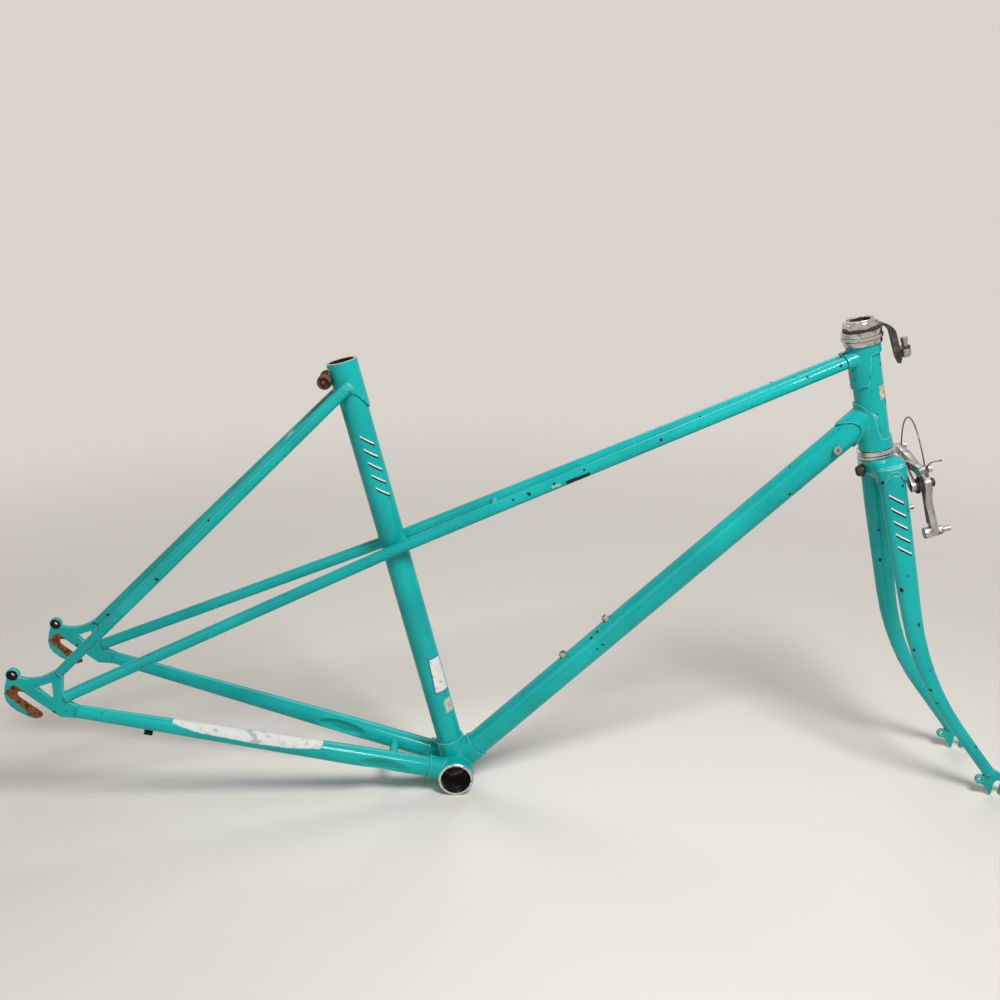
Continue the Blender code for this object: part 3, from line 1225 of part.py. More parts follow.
def build_yoke(steering, yoke_back, yoke_front):
    bolt_radius = BRAKE_BOLT_OD / 2
    crown_back = -CROWN_DEPTH / 2 - FIT_GAP
    crown_front = (CROWN_DEPTH + BLADE_FORWARD * YOKE_WIDTH / BLADE_SPREAD) / 2 + FIT_GAP
    axis = head_point(0, 0, -BRAKE_BOLT_DROP)
    nut_end = crown_back - BRAKE_NUT_LENGTH
    tail = nut_end + BOLT_SHORT
    shank = [(0, tail), (bolt_radius, tail), (bolt_radius, yoke_front), (0, yoke_front)]
    finish(turned("brake_bolt", axis, headForward, shank, 16), DARK_STEEL, steering)
    hole = bolt_radius + FIT_GAP
    radius = BRAKE_NUT_OD / 2
    rim = crown_back - BRAKE_NUT_LENGTH / 4
    profile = [(hole, nut_end), (radius * 0.72, nut_end), (radius, rim)]
    profile += [(radius, crown_back), (hole, crown_back)]
    finish(turned("brake_nut", axis, headForward, profile, 16), DARK_STEEL, steering)

    half = YOKE_WIDTH / 2
    fall = PIVOT_DROP - BRAKE_BOLT_DROP
    stations = []
    for share in YOKE_SHARES:
        stations.append((share * PIVOT_SPREAD, -BRAKE_BOLT_DROP - fall * abs(share) ** YOKE_POWER, half))
    holes = [circle((side * PIVOT_SPREAD, -PIVOT_DROP), PIVOT_OD + 2 * FIT_GAP) for side in SIDE_NAMES]
    middle = (yoke_back + yoke_front) / 2
    yoke = plate("brake_yoke", band(stations), holes, at_reach(middle), YOKE_PLATE)
    boss_back = axis + headForward * crown_front
    boss_front = axis + headForward * middle
    combine(yoke, rod("boss", boss_back, boss_front, YOKE_WIDTH, phase=SOCKET_PHASE), "UNION")
    beyond = axis + headForward * yoke_front * 1.5
    combine(yoke, cutter(axis, beyond, BRAKE_BOLT_OD + 2 * FIT_GAP, 16), "DIFFERENCE")
    finish(yoke, ALLOY, steering)


def build_pivot(steering, side, back, bush, head_back):
    name = SIDE_NAMES[side]
    pivot = head_point(0, side * PIVOT_SPREAD, -PIVOT_DROP)
    radius = PIVOT_OD / 2
    head = PIVOT_HEAD_OD / 2
    head_top = head_back + PIVOT_HEAD_LENGTH
    rim = head_back + PIVOT_HEAD_LENGTH * 0.65
    profile = [(0, back), (radius, back), (radius, head_back), (head, head_back), (head, rim)]
    profile += [(head * 0.75, head_top), (0, head_top)]
    finish(turned("pivot_bolt_" + name, pivot, headForward, profile, 20), DARK_STEEL, steering)
    low, high = bush
    outer = PIVOT_BUSH_OD / 2
    clear = radius + FIT_GAP
    profile = [(clear, low), (outer, low), (outer, high), (clear, high)]
    finish(turned("pivot_bush_" + name, pivot, headForward, profile, 20), DARK_STEEL, steering)


def build_arm(body, side, back, front):
    name = SIDE_NAMES[side]
    limb = ARM_WIDTH / 2
    fall = PIVOT_DROP - ARM_CABLE_DROP
    stations = [(-side * ARM_CABLE_SPREAD, -ARM_CABLE_DROP, limb)]
    for spread, share in ARM_RISE:
        stations.append((side * PIVOT_SPREAD * spread, -ARM_CABLE_DROP - fall * share, limb))
    stations.append((side * PIVOT_SPREAD, -PIVOT_DROP, PIVOT_BOSS_OD / 2))
    stations.append((side * ARM_WAIST_SPREAD, -ARM_WAIST_DROP, limb))
    stations.append((side * ARM_FOOT_SPREAD, -ARM_FOOT_DROP, ARM_FOOT_WIDTH / 2))
    holes = [
        circle((side * PIVOT_SPREAD, -PIVOT_DROP), PIVOT_OD + 2 * RUNNING_GAP, 20),
        circle((side * ARM_FOOT_SPREAD, -ARM_FOOT_DROP), SHOE_BOLT_OD + 2 * FIT_GAP),
        circle((-side * ARM_CABLE_SPREAD, -ARM_CABLE_DROP), ANCHOR_OD + 2 * FIT_GAP),
    ]
    arm = plate("brake_arm_" + name, band(stations), holes, at_reach((back + front) / 2), ARM_PLATE)
    finish(arm, ALLOY, body)

    foot = head_point(0, side * ARM_FOOT_SPREAD, -ARM_FOOT_DROP)
    radius = SHOE_BOLT_OD / 2
    eye = SHOE_EYE_OD / 2
    eye_front = back - FIT_GAP
    eye_back = eye_front - SHOE_EYE_LENGTH
    nut_back = front + FIT_GAP
    nut_front = nut_back + SHOE_NUT_LENGTH
    tip = nut_front + SHOE_BOLT_PROUD
    profile = [(0, eye_back), (eye, eye_back), (eye, eye_front), (radius, eye_front), (radius, tip), (0, tip)]
    finish(turned("shoe_bolt_" + name, foot, headForward, profile, 20), BARE_STEEL, body)
    clear = (radius + FIT_GAP) / math.cos(math.pi / 6)
    nut = SHOE_NUT_OD / 2
    profile = [(clear, nut_back), (nut, nut_back), (nut, nut_front), (clear, nut_front)]
    finish(turned("shoe_nut_" + name, foot, headForward, profile, 6, False), BARE_STEEL, body)

    cable_end = head_point(0, -side * ARM_CABLE_SPREAD, -ARM_CABLE_DROP)
    radius = ANCHOR_OD / 2
    head = ANCHOR_HEAD_OD / 2
    wire_middle = front + FIT_GAP + WIRE_OD / 2
    low = wire_middle + WIRE_OD / 2 + FIT_GAP
    high = low + ANCHOR_HEAD_LENGTH
    profile = [(0, back), (radius, back), (radius, low), (head, low), (head, high), (0, high)]
    finish(turned("cable_anchor_" + name, cable_end, headForward, profile, 16), BARE_STEEL, body)
    return -side * (ARM_CABLE_SPREAD - radius - FIT_GAP - WIRE_OD / 2), wire_middle


def build_spring(body, side, bush):
    name = SIDE_NAMES[side]
    inset = FIT_GAP + SPRING_WIRE / 2
    coil = PIVOT_BUSH_OD / 2 + inset
    rear, near = bush[0] + inset, bush[1] - inset
    fixed_reach, arm_reach = (rear, near) if side < 0 else (near, rear)
    points = [(side * PIVOT_SPREAD / 2, -PIVOT_DROP - coil, fixed_reach)]
    for step in range(SPRING_STEPS + 1):
        share = step / SPRING_STEPS
        turn = math.radians(-90 - 360 * share)
        across = side * (PIVOT_SPREAD - coil * math.cos(turn))
        reach = fixed_reach + (arm_reach - fixed_reach) * share
        points.append((across, -PIVOT_DROP + coil * math.sin(turn), reach))
    end_drop = ARM_FOOT_DROP - SHOE_EYE_OD / 2 - SPRING_WIRE * 2
    points.append((side * ARM_FOOT_SPREAD * 0.95, -end_drop, arm_reach))
    path = [head_point(reach, across, height) for across, height, reach in points]
    print("brake_spring_" + name, "least gap to itself, mm:", round(least_gap(path, SPRING_WIRE) / MM, 2))
    finish(wire("brake_spring_" + name, path, SPRING_WIRE, 1), DARK_STEEL, body)


def build_brake(steering, pivots):
    yoke_back = BLADE_FORWARD + BLADE_DEPTH / 2 + LUG_WALL + 3 * FIT_GAP
    yoke_front = yoke_back + YOKE_PLATE
    inner_back = yoke_front + 2 * FIT_GAP
    inner_front = inner_back + ARM_PLATE
    outer_back = inner_front + 2 * FIT_GAP
    outer_front = outer_back + ARM_PLATE
    arms = {1: (inner_back, inner_front), -1: (outer_back, outer_front)}
    bushes = {
        1: (inner_front + FIT_GAP, outer_front - FIT_GAP),
        -1: (yoke_front + FIT_GAP, outer_back - FIT_GAP),
    }
    build_yoke(steering, yoke_back, yoke_front)
    wire_points = {}
    for side in SIDE_NAMES:
        build_pivot(steering, side, yoke_back, bushes[side], outer_front + FIT_GAP)
        wire_points[side] = build_arm(pivots[side], side, *arms[side])
        build_spring(pivots[side], side, bushes[side])
    build_straddle(steering, wire_points)


def build_straddle(steering, wire_points):
    far, far_reach = wire_points[-1]
    near, near_reach = wire_points[1]
    foot = -ARM_CABLE_DROP - ANCHOR_OD
    rise = WIRE_PEAK - foot
    points = [(far, foot, far_reach), (far, foot + rise * 0.1, far_reach)]
    points.append((far * 0.98, foot + rise * 0.22, far_reach))
    for share, height in WIRE_ARCH:
        reach = far_reach + (near_reach - far_reach) * share
        points.append((far + (near - far) * share, foot + rise * height, reach))
    centre = -ARM_CABLE_SPREAD
    clear = near - centre
    under = foot - clear * 0.8
    points += [(near, foot + rise * 0.18, near_reach), (near, foot + rise * 0.09, near_reach)]
    points += [(near, foot, near_reach), (centre + clear * 0.5, under, near_reach)]
    points += [(centre - clear * 0.5, under, near_reach), (centre - clear, foot, near_reach)]
    points.append((centre - clear, foot + rise * 0.16, near_reach))
    tail = foot + rise * 0.25
    points.append((centre - clear * 1.3, tail, near_reach + WIRE_TAIL * 0.3))
    points.append((centre - clear * 1.5, tail, near_reach + WIRE_TAIL))
    path = smooth_path([head_point(reach, across, height) for across, height, reach in points], 3)
    finish(wire("straddle_wire", path, WIRE_OD), BARE_STEEL, steering)


def tip_angle():
    """How far the frame leans nose down when the shell and the fork tips stand on the floor."""
    leans = []
    for across, up in front_outline():
        x = frontAxle.x + across
        z = frontAxle.z + up
        leans.append(math.atan2(z, x) + math.asin(SHELL_OD / 2 / math.hypot(x, z)))
    return min(leans)


for old in list(bpy.data.objects):
    bpy.data.objects.remove(old)

root = empty("frame_root", (0, 0, 0))
root.rotation_euler.y = tip_angle()
steering = empty("steering_axis", headFoot, root)
adjusting = empty("adjuster_axis", headFoot, root)
pivots = {}
for side, name in SIDE_NAMES.items():
    pivots[side] = empty("brake_pivot_" + name, head_point(0, side * PIVOT_SPREAD, -PIVOT_DROP), root)

build_main_tubes(root)
build_head_lugs(root)
build_seat_lug(root)
build_seat_stays(root)
build_chain_stays(root)
build_lateral_bridge(root)
build_rear_dropouts(root)
build_shell(root)
build_cable_stop(root)
build_bosses(root)
hanger_base = build_headset(root, steering)
build_hanger(steering, adjusting, hanger_base)
build_fork(steering, build_locknut(steering, hanger_base))
build_brake(steering, pivots)
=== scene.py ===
import json
import math

import bmesh
import bpy
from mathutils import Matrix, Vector


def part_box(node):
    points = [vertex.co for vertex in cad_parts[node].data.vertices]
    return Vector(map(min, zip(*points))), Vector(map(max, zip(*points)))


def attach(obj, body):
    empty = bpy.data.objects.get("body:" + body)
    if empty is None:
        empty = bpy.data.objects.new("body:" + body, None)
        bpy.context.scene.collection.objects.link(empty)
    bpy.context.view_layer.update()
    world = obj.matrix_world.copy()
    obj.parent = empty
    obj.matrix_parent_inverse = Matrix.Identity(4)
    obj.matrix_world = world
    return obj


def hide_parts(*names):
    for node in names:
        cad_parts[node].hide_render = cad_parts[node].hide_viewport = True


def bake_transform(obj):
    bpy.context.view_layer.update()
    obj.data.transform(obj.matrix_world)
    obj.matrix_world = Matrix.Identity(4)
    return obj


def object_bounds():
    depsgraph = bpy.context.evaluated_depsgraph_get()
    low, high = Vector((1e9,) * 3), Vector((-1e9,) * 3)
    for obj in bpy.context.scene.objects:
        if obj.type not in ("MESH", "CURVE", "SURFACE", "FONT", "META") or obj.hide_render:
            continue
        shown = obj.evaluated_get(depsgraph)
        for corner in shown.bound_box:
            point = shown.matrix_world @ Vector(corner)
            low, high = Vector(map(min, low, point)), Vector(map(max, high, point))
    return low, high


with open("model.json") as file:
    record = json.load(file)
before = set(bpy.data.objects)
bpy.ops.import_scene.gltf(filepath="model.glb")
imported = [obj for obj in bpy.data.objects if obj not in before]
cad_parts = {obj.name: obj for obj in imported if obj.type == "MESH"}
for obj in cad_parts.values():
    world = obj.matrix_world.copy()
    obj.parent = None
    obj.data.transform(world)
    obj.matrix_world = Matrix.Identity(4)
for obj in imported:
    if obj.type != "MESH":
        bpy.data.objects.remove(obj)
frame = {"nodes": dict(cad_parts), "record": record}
nodes = frame["nodes"]
cadBox = [list(corner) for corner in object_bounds()]
mm = 0.001
print("frame loaded,", len(nodes), "nodes")


# Shader maths as expressions
class Wire:
    def __init__(self, tree, socket):
        self.tree = tree
        self.socket = socket

    def add(self, kind, settings=None, inputs=None, output=0):
        made = self.tree.nodes.new(kind)
        for key, value in (settings or {}).items():
            setattr(made, key, value)
        for key, value in (inputs or {}).items():
            if isinstance(value, Wire):
                self.tree.links.new(value.socket, made.inputs[key])
            else:
                made.inputs[key].default_value = value
        return Wire(self.tree, made.outputs[output] if made.outputs else None)

    def math(self, operation, *values):
        return self.add("ShaderNodeMath", {"operation": operation}, dict(enumerate(values)))

    def vector(self, operation, *values, output=0):
        return self.add("ShaderNodeVectorMath", {"operation": operation}, dict(enumerate(values)), output)

    def ramp(self, low, high):
        values = {0: self, 1: low, 2: high, 3: 0.0, 4: 1.0}
        return self.add("ShaderNodeMapRange", {"interpolation_type": "SMOOTHSTEP"}, values)

    def larger(self, other):
        return self.math("MAXIMUM", self, other)

    def __add__(self, other):
        return self.math("ADD", self, other)

    def __radd__(self, other):
        return self.math("ADD", other, self)

    def __sub__(self, other):
        return self.math("SUBTRACT", self, other)

    def __rsub__(self, other):
        return self.math("SUBTRACT", other, self)

    def __mul__(self, other):
        return self.math("MULTIPLY", self, other)

    def __rmul__(self, other):
        return self.math("MULTIPLY", other, self)

    def __abs__(self):
        return self.math("ABSOLUTE", self)


surfaceLook = {
    "noiseRoughness": 0.55,
    "raggedScale": 330.0,
    "spotRag": 1.7,     # how torn a chip's outline is, in shares of its radius
    "spotCore": 0.8,    # the share of a chip that is fully bare
    "edgeSamples": 4,
    "bumpStrength": 0.6,
    "bumpHeight": 0.2 * mm,
}


# A surface that is built up in layers, then joined to its shader. Marks are in millimetres,
# and blotches are a scale, a detail, and where they begin and are full
class Finish:
    def __init__(self, name, colour, rough, metal=0.0, coat=0.0):
        self.material = bpy.data.materials.new(name)
        self.material.use_nodes = True
        self.tree = self.material.node_tree
        self.shader = self.tree.nodes["Principled BSDF"]
        self.place = Wire(self.tree, None).add("ShaderNodeTexCoord", output="Object")
        split = {"kind": "ShaderNodeSeparateXYZ", "inputs": {0: self.place}}
        self.x, self.y, self.z = [self.place.add(**split, output=axis) for axis in range(3)]
        self.colour = colour
        self.rough = rough
        self.metal = metal
        self.coat = coat
        self.height = None
        self.edge = None

    def noise(self, scale, detail=3.0):
        values = {"Vector": self.place, "Scale": scale, "Detail": detail}
        values["Roughness"] = surfaceLook["noiseRoughness"]
        return self.place.add("ShaderNodeTexNoise", None, values)

    def blotches(self, scale, detail, low, high):
        return self.noise(scale, detail).ramp(low, high)

    def mix(self, share, first, second):
        return self.place.add("ShaderNodeMix", {"data_type": "RGBA"}, {0: share, 6: first, 7: second}, 2)

    def twoTone(self, first, second, blotches):
        return self.mix(self.blotches(*blotches), first, second)

    def ragged(self):
        if self.edge is None:
            self.edge = self.noise(surfaceLook["raggedScale"]) - 0.5
        return self.edge

    def lay(self, mask, colour, rough=None, metal=None, coat=None, rise=0.0):
        self.colour = self.mix(mask, self.colour, colour)
        if rough is not None:
            self.rough = self.rough + mask * (rough - self.rough)
        if metal is not None:
            self.metal = self.metal + mask * (metal - self.metal)
        if coat is not None:
            self.coat = self.coat + mask * (coat - self.coat)
        if rise:
            self.lift(mask * rise)

    def lift(self, height):
        self.height = height if self.height is None else self.height + height

    def spot(self, centre, radius, rag=surfaceLook["spotRag"]):
        gap = self.place.vector("DISTANCE", self.place, [part * mm for part in centre], output=1)
        gap = gap + self.ragged() * (radius * mm * rag)
        return 1 - gap.ramp(radius * mm * surfaceLook["spotCore"], radius * mm)

    def spots(self, places):
        mask = None
        for x, y, z, radius in places:
            made = self.spot((x, y, z), radius)
            mask = made if mask is None else mask.larger(made)
        return mask

    def line(self, a, b, c):
        return self.x * (a / mm) + self.z * (b / mm) + c

    def within(self, value, low, high, soft):
        return value.ramp(low - soft, low + soft) * (1 - value.ramp(high - soft, high + soft))

    def bar(self, start, end, half, soft=0.3, rag=0.0):
        run = Vector(end) - Vector(start)
        length = run.length
        run.normalize()
        along = self.line(run.x, run.y, -run.dot(Vector(start)))
        off = self.line(-run.y, run.x, run.y * start[0] - run.x * start[1])
        if rag:
            off = off + self.ragged() * rag
            along = along + self.ragged() * rag
        return self.within(along, 0.0, length, soft) * self.within(off, -half, half, soft)

    def edges(self, size):
        settings = {"samples": surfaceLook["edgeSamples"]}
        rounded = self.place.add("ShaderNodeBevel", settings, {"Radius": size * mm})
        normal = self.place.add("ShaderNodeNewGeometry", output="Normal")
        return 1 - normal.vector("DOT_PRODUCT", normal, rounded, output=1)

    def nearSide(self, y, soft=1.0):
        return 1 - self.y.ramp((y - soft) * mm, (y + soft) * mm)

    def radial(self, origin, axis):
        arm = self.place.vector("SUBTRACT", self.place, origin)
        return arm.vector("LENGTH", arm.vector("CROSS_PRODUCT", arm, axis), output=1)

    def heightAlong(self, origin, axis):
        arm = self.place.vector("SUBTRACT", self.place, origin)
        return arm.vector("DOT_PRODUCT", arm, axis, output=1)

    def feed(self, name, value):
        if isinstance(value, Wire):
            self.tree.links.new(value.socket, self.shader.inputs[name])
        else:
            self.shader.inputs[name].default_value = value

    def close(self):
        self.feed("Base Color", self.colour)
        self.feed("Roughness", self.rough)
        self.feed("Metallic", self.metal)
        self.feed("Coat Weight", self.coat)
        if self.height is not None:
            values = {"Strength": surfaceLook["bumpStrength"], "Distance": surfaceLook["bumpHeight"]}
            self.feed("Normal", self.place.add("ShaderNodeBump", None, {**values, "Height": self.height}))
        return self.material


# Turquoise paint under a clear coat, with wear along the edges and scattered chips
paintLook = {
    "colour": (0.003, 0.43, 0.415, 1),
    "roughness": 0.22,
    "specular": 0.06,
    "coat": 0.36,
    "coatRoughness": 0.06,
    "deep": {"second": (0.002, 0.335, 0.33, 1), "blotches": (11.0, 3.0, 0.36, 0.68)},
    "haze": {"scale": 300.0, "amount": 0.14},
    "dust": {"scale": 120.0, "detail": 2.0, "height": 0.25},
    "chip": {"colour": (0.030, 0.018, 0.011, 1), "rough": 0.75, "metal": 0.2, "coat": 0.0, "rise": -0.8},
    "chipAreas": (6.0, 1.0, 0.48, 0.60),
    "smallChips": (150.0, 2.0, 0.695, 0.715),
    "worn": {"colour": (0.34, 0.60, 0.56, 1), "rough": 0.5, "metal": 0.0, "coat": 0.1},
    "wornWidth": 1.3,
    "wornBend": (0.012, 0.06),
    "wornAreas": (60.0, 4.0, 0.38, 0.56),
    "wornShare": 0.85,
}


def startPaint(name):
    paint = Finish(name, paintLook["colour"], paintLook["roughness"], 0.0, paintLook["coat"])
    paint.shader.inputs["Specular IOR Level"].default_value = paintLook["specular"]
    paint.shader.inputs["Coat Roughness"].default_value = paintLook["coatRoughness"]
    paint.colour = paint.twoTone(paint.colour, **paintLook["deep"])
    haze, dust = paintLook["haze"], paintLook["dust"]
    paint.rough = paint.rough + paint.noise(haze["scale"]) * haze["amount"]
    paint.lift(paint.noise(dust["scale"], dust["detail"]) * dust["height"])  # dust under the gloss
    small = paint.blotches(*paintLook["smallChips"]) * paint.blotches(*paintLook["chipAreas"])
    bend = paint.edges(paintLook["wornWidth"]).ramp(*paintLook["wornBend"])
    worn = bend * paint.blotches(*paintLook["wornAreas"])
    paint.lay(worn * paintLook["wornShare"], **paintLook["worn"])
    chip(paint, small)
    return paint


def chip(paint, mask):
    paint.lay(mask, **paintLook["chip"])


rustLook = {
    "dark": (0.05, 0.022, 0.013, 1),
    "colour": (0.27, 0.095, 0.032, 1),
    "flakes": (210.0, 5.0, 0.34, 0.56),
    "finish": {"rough": 0.8, "metal": 0.25, "coat": 0.0, "rise": 0.3},
}


def rust(paint, mask):
    tone = paint.twoTone(rustLook["dark"], rustLook["colour"], rustLook["flakes"])
    paint.lay(mask, tone, **rustLook["finish"])


boreLook = {
    "boreGrimeAndShade": {
        "first": (0.020, 0.016, 0.014, 1),
        "second": (0.075, 0.035, 0.02, 1),
        "blotches": (90.0, 4.0, 0.45, 0.65),
    },
    "finish": {"rough": 0.8, "metal": 0.3, "coat": 0.0},
    "soft": (-0.15, 0.1),
}


# Paints the inside of a bore near black: partly real grime on bare steel, partly painted shade deep in the
# tube
def darkBore(finish, origin, axis, radius):
    low, high = boreLook["soft"]
    inside = 1 - finish.radial(origin, axis).ramp((radius + low) * mm, (radius + high) * mm)
    finish.lay(inside, finish.twoTone(**boreLook["boreGrimeAndShade"]), **boreLook["finish"])


# Five slanted stripes, each white over black. Marks from here on are in millimetres
# from the shell's axis: x forward, y left, z up, or x and z alone
stripeLook = {
    "black": {"span": (0.0, 0.20), "colour": (0.012, 0.012, 0.014, 1)},
    "white": {"span": (-0.095, 0.035), "colour": (0.78, 0.78, 0.75, 1)},
    "rough": 0.4,
    "soft": 0.012,
    "endSoft": 0.02,
    "side": -2.0,
}


def layStripes(paint, look):
    first, last, run = Vector(look["first"]), Vector(look["last"]), Vector(look["run"])
    step = (last - first) / (look["count"] - 1)
    area = step.x * run.y - step.y * run.x
    rank = paint.line(run.y / area, -run.x / area, -(first.x * run.y - first.y * run.x) / area)
    share = paint.line(-step.y / area, step.x / area, (first.x * step.y - first.y * step.x) / area)
    near = rank + 0.5
    phase = near.math("FRACT", near) - 0.5
    soft = stripeLook["endSoft"]
    reach = paint.within(share, -0.5, 0.5, soft) * paint.within(rank, -0.4, look["count"] - 0.6, soft)
    reach = reach * paint.nearSide(stripeLook["side"])
    for tone in ("black", "white"):
        band = paint.within(phase, *stripeLook[tone]["span"], stripeLook["soft"])
        paint.lay(band * reach, stripeLook[tone]["colour"], stripeLook["rough"])


seatTubeRim = {
    "middle": (-112.83, 0, 472.31),
    "up": (-0.2357, 0, 0.9718),
    "boreRadius": 13.65,
    "bare": (-0.5, -0.2),
    "steel": (0.60, 0.57, 0.53, 1),
    "metal": 0.9,
    "tubeRough": 0.35,
    "lugRough": 0.4,
}


def bareRim(paint, rough):
    low, high = seatTubeRim["bare"]
    top = paint.heightAlong(Vector(seatTubeRim["middle"]) * mm, Vector(seatTubeRim["up"]))
    paint.lay(top.ramp(low * mm, high * mm), seatTubeRim["steel"], rough, seatTubeRim["metal"], 0.0)


seatTubeMarks = {
    "stripes": {"first": (-88.35, 390.7), "last": (-73.7, 334.9), "run": (13.9, -8.5), "count": 5},
    "label": {"start": (-13.3, 99.0), "end": (-20.8, 141.6), "half": 9.0},
    "labelEdge": {"colour": (0.035, 0.06, 0.19, 1), "rough": 0.45, "metal": 0.0, "coat": 0.1},
    "labelEndMargin": 1.3,
    "labelSideMargin": 1.2,
    "labelPaper": {
        "first": (0.76, 0.76, 0.75, 1),
        "second": (0.52, 0.36, 0.22, 1),
        "blotches": (150.0, 4.0, 0.56, 0.66),
    },
    "labelFinish": {"rough": 0.5, "metal": 0.0, "coat": 0.1},
    "torn": {"start": (-4.4, 74.4), "end": (-7.4, 90.0), "half": 5.2, "soft": 0.5, "rag": 5.0},
    "tornPaper": {
        "first": (0.62, 0.60, 0.48, 1),
        "second": (0.10, 0.22, 0.17, 1),
        "blotches": (640.0, 3.0, 0.50, 0.66),
    },
    "tornFinish": {"rough": 0.7, "metal": 0.0, "coat": 0.0},
    "side": -3.0,
    "chips": [(-60.5, -13.2, 300.0, 1.6), (-45.0, -13.8, 232.0, 1.3), (-98.0, -12.0, 408.0, 1.8)],
}


def seatTubePaint():
    look = seatTubeMarks
    paint = startPaint("seatTubePaint")
    layStripes(paint, look["stripes"])
    near = paint.nearSide(look["side"])
    label = look["label"]
    paint.lay(paint.bar(**label) * near, **look["labelEdge"])
    start, end = Vector(label["start"]), Vector(label["end"])
    inset = (end - start).normalized() * look["labelEndMargin"]
    half = label["half"] - look["labelSideMargin"]
    white = paint.bar(tuple(start + inset), tuple(end - inset), half) * near
    paint.lay(white, paint.twoTone(**look["labelPaper"]), **look["labelFinish"])
    torn = paint.bar(**look["torn"]) * near
    paint.lay(torn, paint.twoTone(**look["tornPaper"]), **look["tornFinish"])
    chip(paint, paint.spots(look["chips"]))
    darkBore(paint, Vector(seatTubeRim["middle"]) * mm, Vector(seatTubeRim["up"]), seatTubeRim["boreRadius"])
    bareRim(paint, seatTubeRim["tubeRough"])
    return paint.close()


forkMarks = {
    "stripes": {"first": (467.4, 328.6), "last": (481.3, 272.5), "run": (15.9, -7.8), "count": 5},
    "right": [(482, -41.3, 227.5, 2.6), (502.2, -46.1, 158.6, 1.9), (504.1, -46.5, 188.5, 2.2),
              (524.2, -49.7, 111.6, 2.0), (488, -42, 250, 1.2), (473.1, -36.2, 343.1, 1.7)],
    "left": [(476.9, 23.4, 273.6, 1.8), (483.4, 27.3, 236.2, 2.1)],
}


def forkBladePaint(side):
    paint = startPaint("forkBladePaint" + side.title())
    if side == "right":
        layStripes(paint, forkMarks["stripes"])
    chip(paint, paint.spots(forkMarks[side]))
    return paint.close()


lateralMarks = {
    "strip": {"start": (119.3, 345.3), "end": (144.5, 354.6), "half": 2.3, "rag": 1.5},
    "stripLayer": {"colour": (0.022, 0.026, 0.024, 1), "rough": 0.55, "metal": 0.0, "coat": 0.1},
    "pale": {"start": (104.5, 341.3), "end": (114.0, 343.4), "half": 1.6, "rag": 3.0},
    "paleLayer": {"colour": (0.30, 0.52, 0.48, 1), "rough": 0.5},
    "side": -16.0,
    "right": [(402, -4.9, 473.4, 1.5), (402.8, -13.9, 466.6, 1.6), (409.7, -13.1, 474.8, 1.8),
              (80.4, -22.8, 333.9, 2.2), (63.5, -23, 327.5, 1.4), (138, -20.5, 359, 1.5),
              (106.6, -22.1, 344.4, 1.5), (218.1, -19, 390.5, 1.8)],
    "left": [(263.3, 5.7, 409, 1.6), (62, 14, 332, 1.8)],
}


def lateralPaint(side):
    paint = startPaint("lateralPaint" + side.title())
    if side == "right":
        near = paint.nearSide(lateralMarks["side"])
        paint.lay(paint.bar(**lateralMarks["pale"]) * near, **lateralMarks["paleLayer"])
        paint.lay(paint.bar(**lateralMarks["strip"]) * near, **lateralMarks["stripLayer"])
    chip(paint, paint.spots(lateralMarks[side]))
    return paint.close()


downTubeMarks = {
    "chips": [(152.2, -7.6, 160.6, 2.0), (158.9, -6.7, 167.4, 1.7), (158.4, -14.3, 150.2, 1.4),
              (165, -14.2, 155, 1.5), (361.1, -12.8, 328.1, 2.0), (372.7, -9.1, 332.5, 1.8)],
    "bosses": [(167.9, -1.7, 184.4, 7.0), (120.6, -3.3, 140.8, 7.0)],
    "bossGrimeAndShade": {"colour": (0.05, 0.07, 0.06, 1), "rough": 0.6},
    "bossGrimeAndShadeShare": 0.6,
}


def downTubePaint():
    paint = startPaint("downTubePaint")
    # Darker round the bosses: partly real grime, partly painted shade round the places where they stand out
    # from the tube
    bossGrimeAndShade = paint.spots(downTubeMarks["bosses"]) * downTubeMarks["bossGrimeAndShadeShare"]
    paint.lay(bossGrimeAndShade, **downTubeMarks["bossGrimeAndShade"])
    chip(paint, paint.spots(downTubeMarks["chips"]))
    return paint.close()


# The right chain stay has a long pale patch on its outer side, down to a line that bulges
chainStayMarks = {
    "start": (-303.5, 91.5),
    "end": (-147.4, 48.6),
    "depth": 6.4,
    "wave": {"scale": 30.0, "amount": 5.0},
    "lowerRag": 2.0,
    "lowerSoft": 0.25,
    "endRag": 6.0,
    "endSoft": 0.6,
    "stayAxis": {"x": -22.72, "y": -19.6, "slope": 0.1226},
    "inward": (2.0, 4.0),
    "bare": {
        "first": (0.74, 0.73, 0.69, 1),
        "second": (0.40, 0.48, 0.45, 1),
        "blotches": (90.0, 4.0, 0.50, 0.66),
    },
    "finish": {"rough": 0.65, "metal": 0.0, "coat": 0.0, "rise": 0.2},
    "chips": [(-330, -61, 88, 2.0), (-120, -39, 36, 1.6)],
}


def chainStayPaint(side):
    paint = startPaint("chainStayPaint" + side.title())
    if side == "left":
        return paint.close()
    look = chainStayMarks
    start, end = Vector(look["start"]), Vector(look["end"])
    run = (end - start).normalized()
    length = (end - start).length
    along = paint.line(run.x, run.y, -run.dot(start))
    below = paint.line(run.y, -run.x, run.x * start.y - run.y * start.x)
    share = along * (1 / length)
    bulge = share * (1 - share) * (4 * look["depth"])
    wave = (paint.noise(look["wave"]["scale"]) - 0.5) * look["wave"]["amount"]
    below = below - bulge + wave + paint.ragged() * look["lowerRag"]
    patch = paint.within(along + paint.ragged() * look["endRag"], 0.0, length, look["endSoft"])
    patch = patch * (1 - below.ramp(-look["lowerSoft"], look["lowerSoft"]))
    axis = look["stayAxis"]
    beside = paint.y * (1 / mm) - paint.line(axis["slope"], 0, axis["y"] - axis["slope"] * axis["x"])
    patch = patch * (1 - beside.ramp(*look["inward"]))
    paint.lay(patch, paint.twoTone(**look["bare"]), **look["finish"])
    chip(paint, paint.spots(look["chips"]))
    return paint.close()


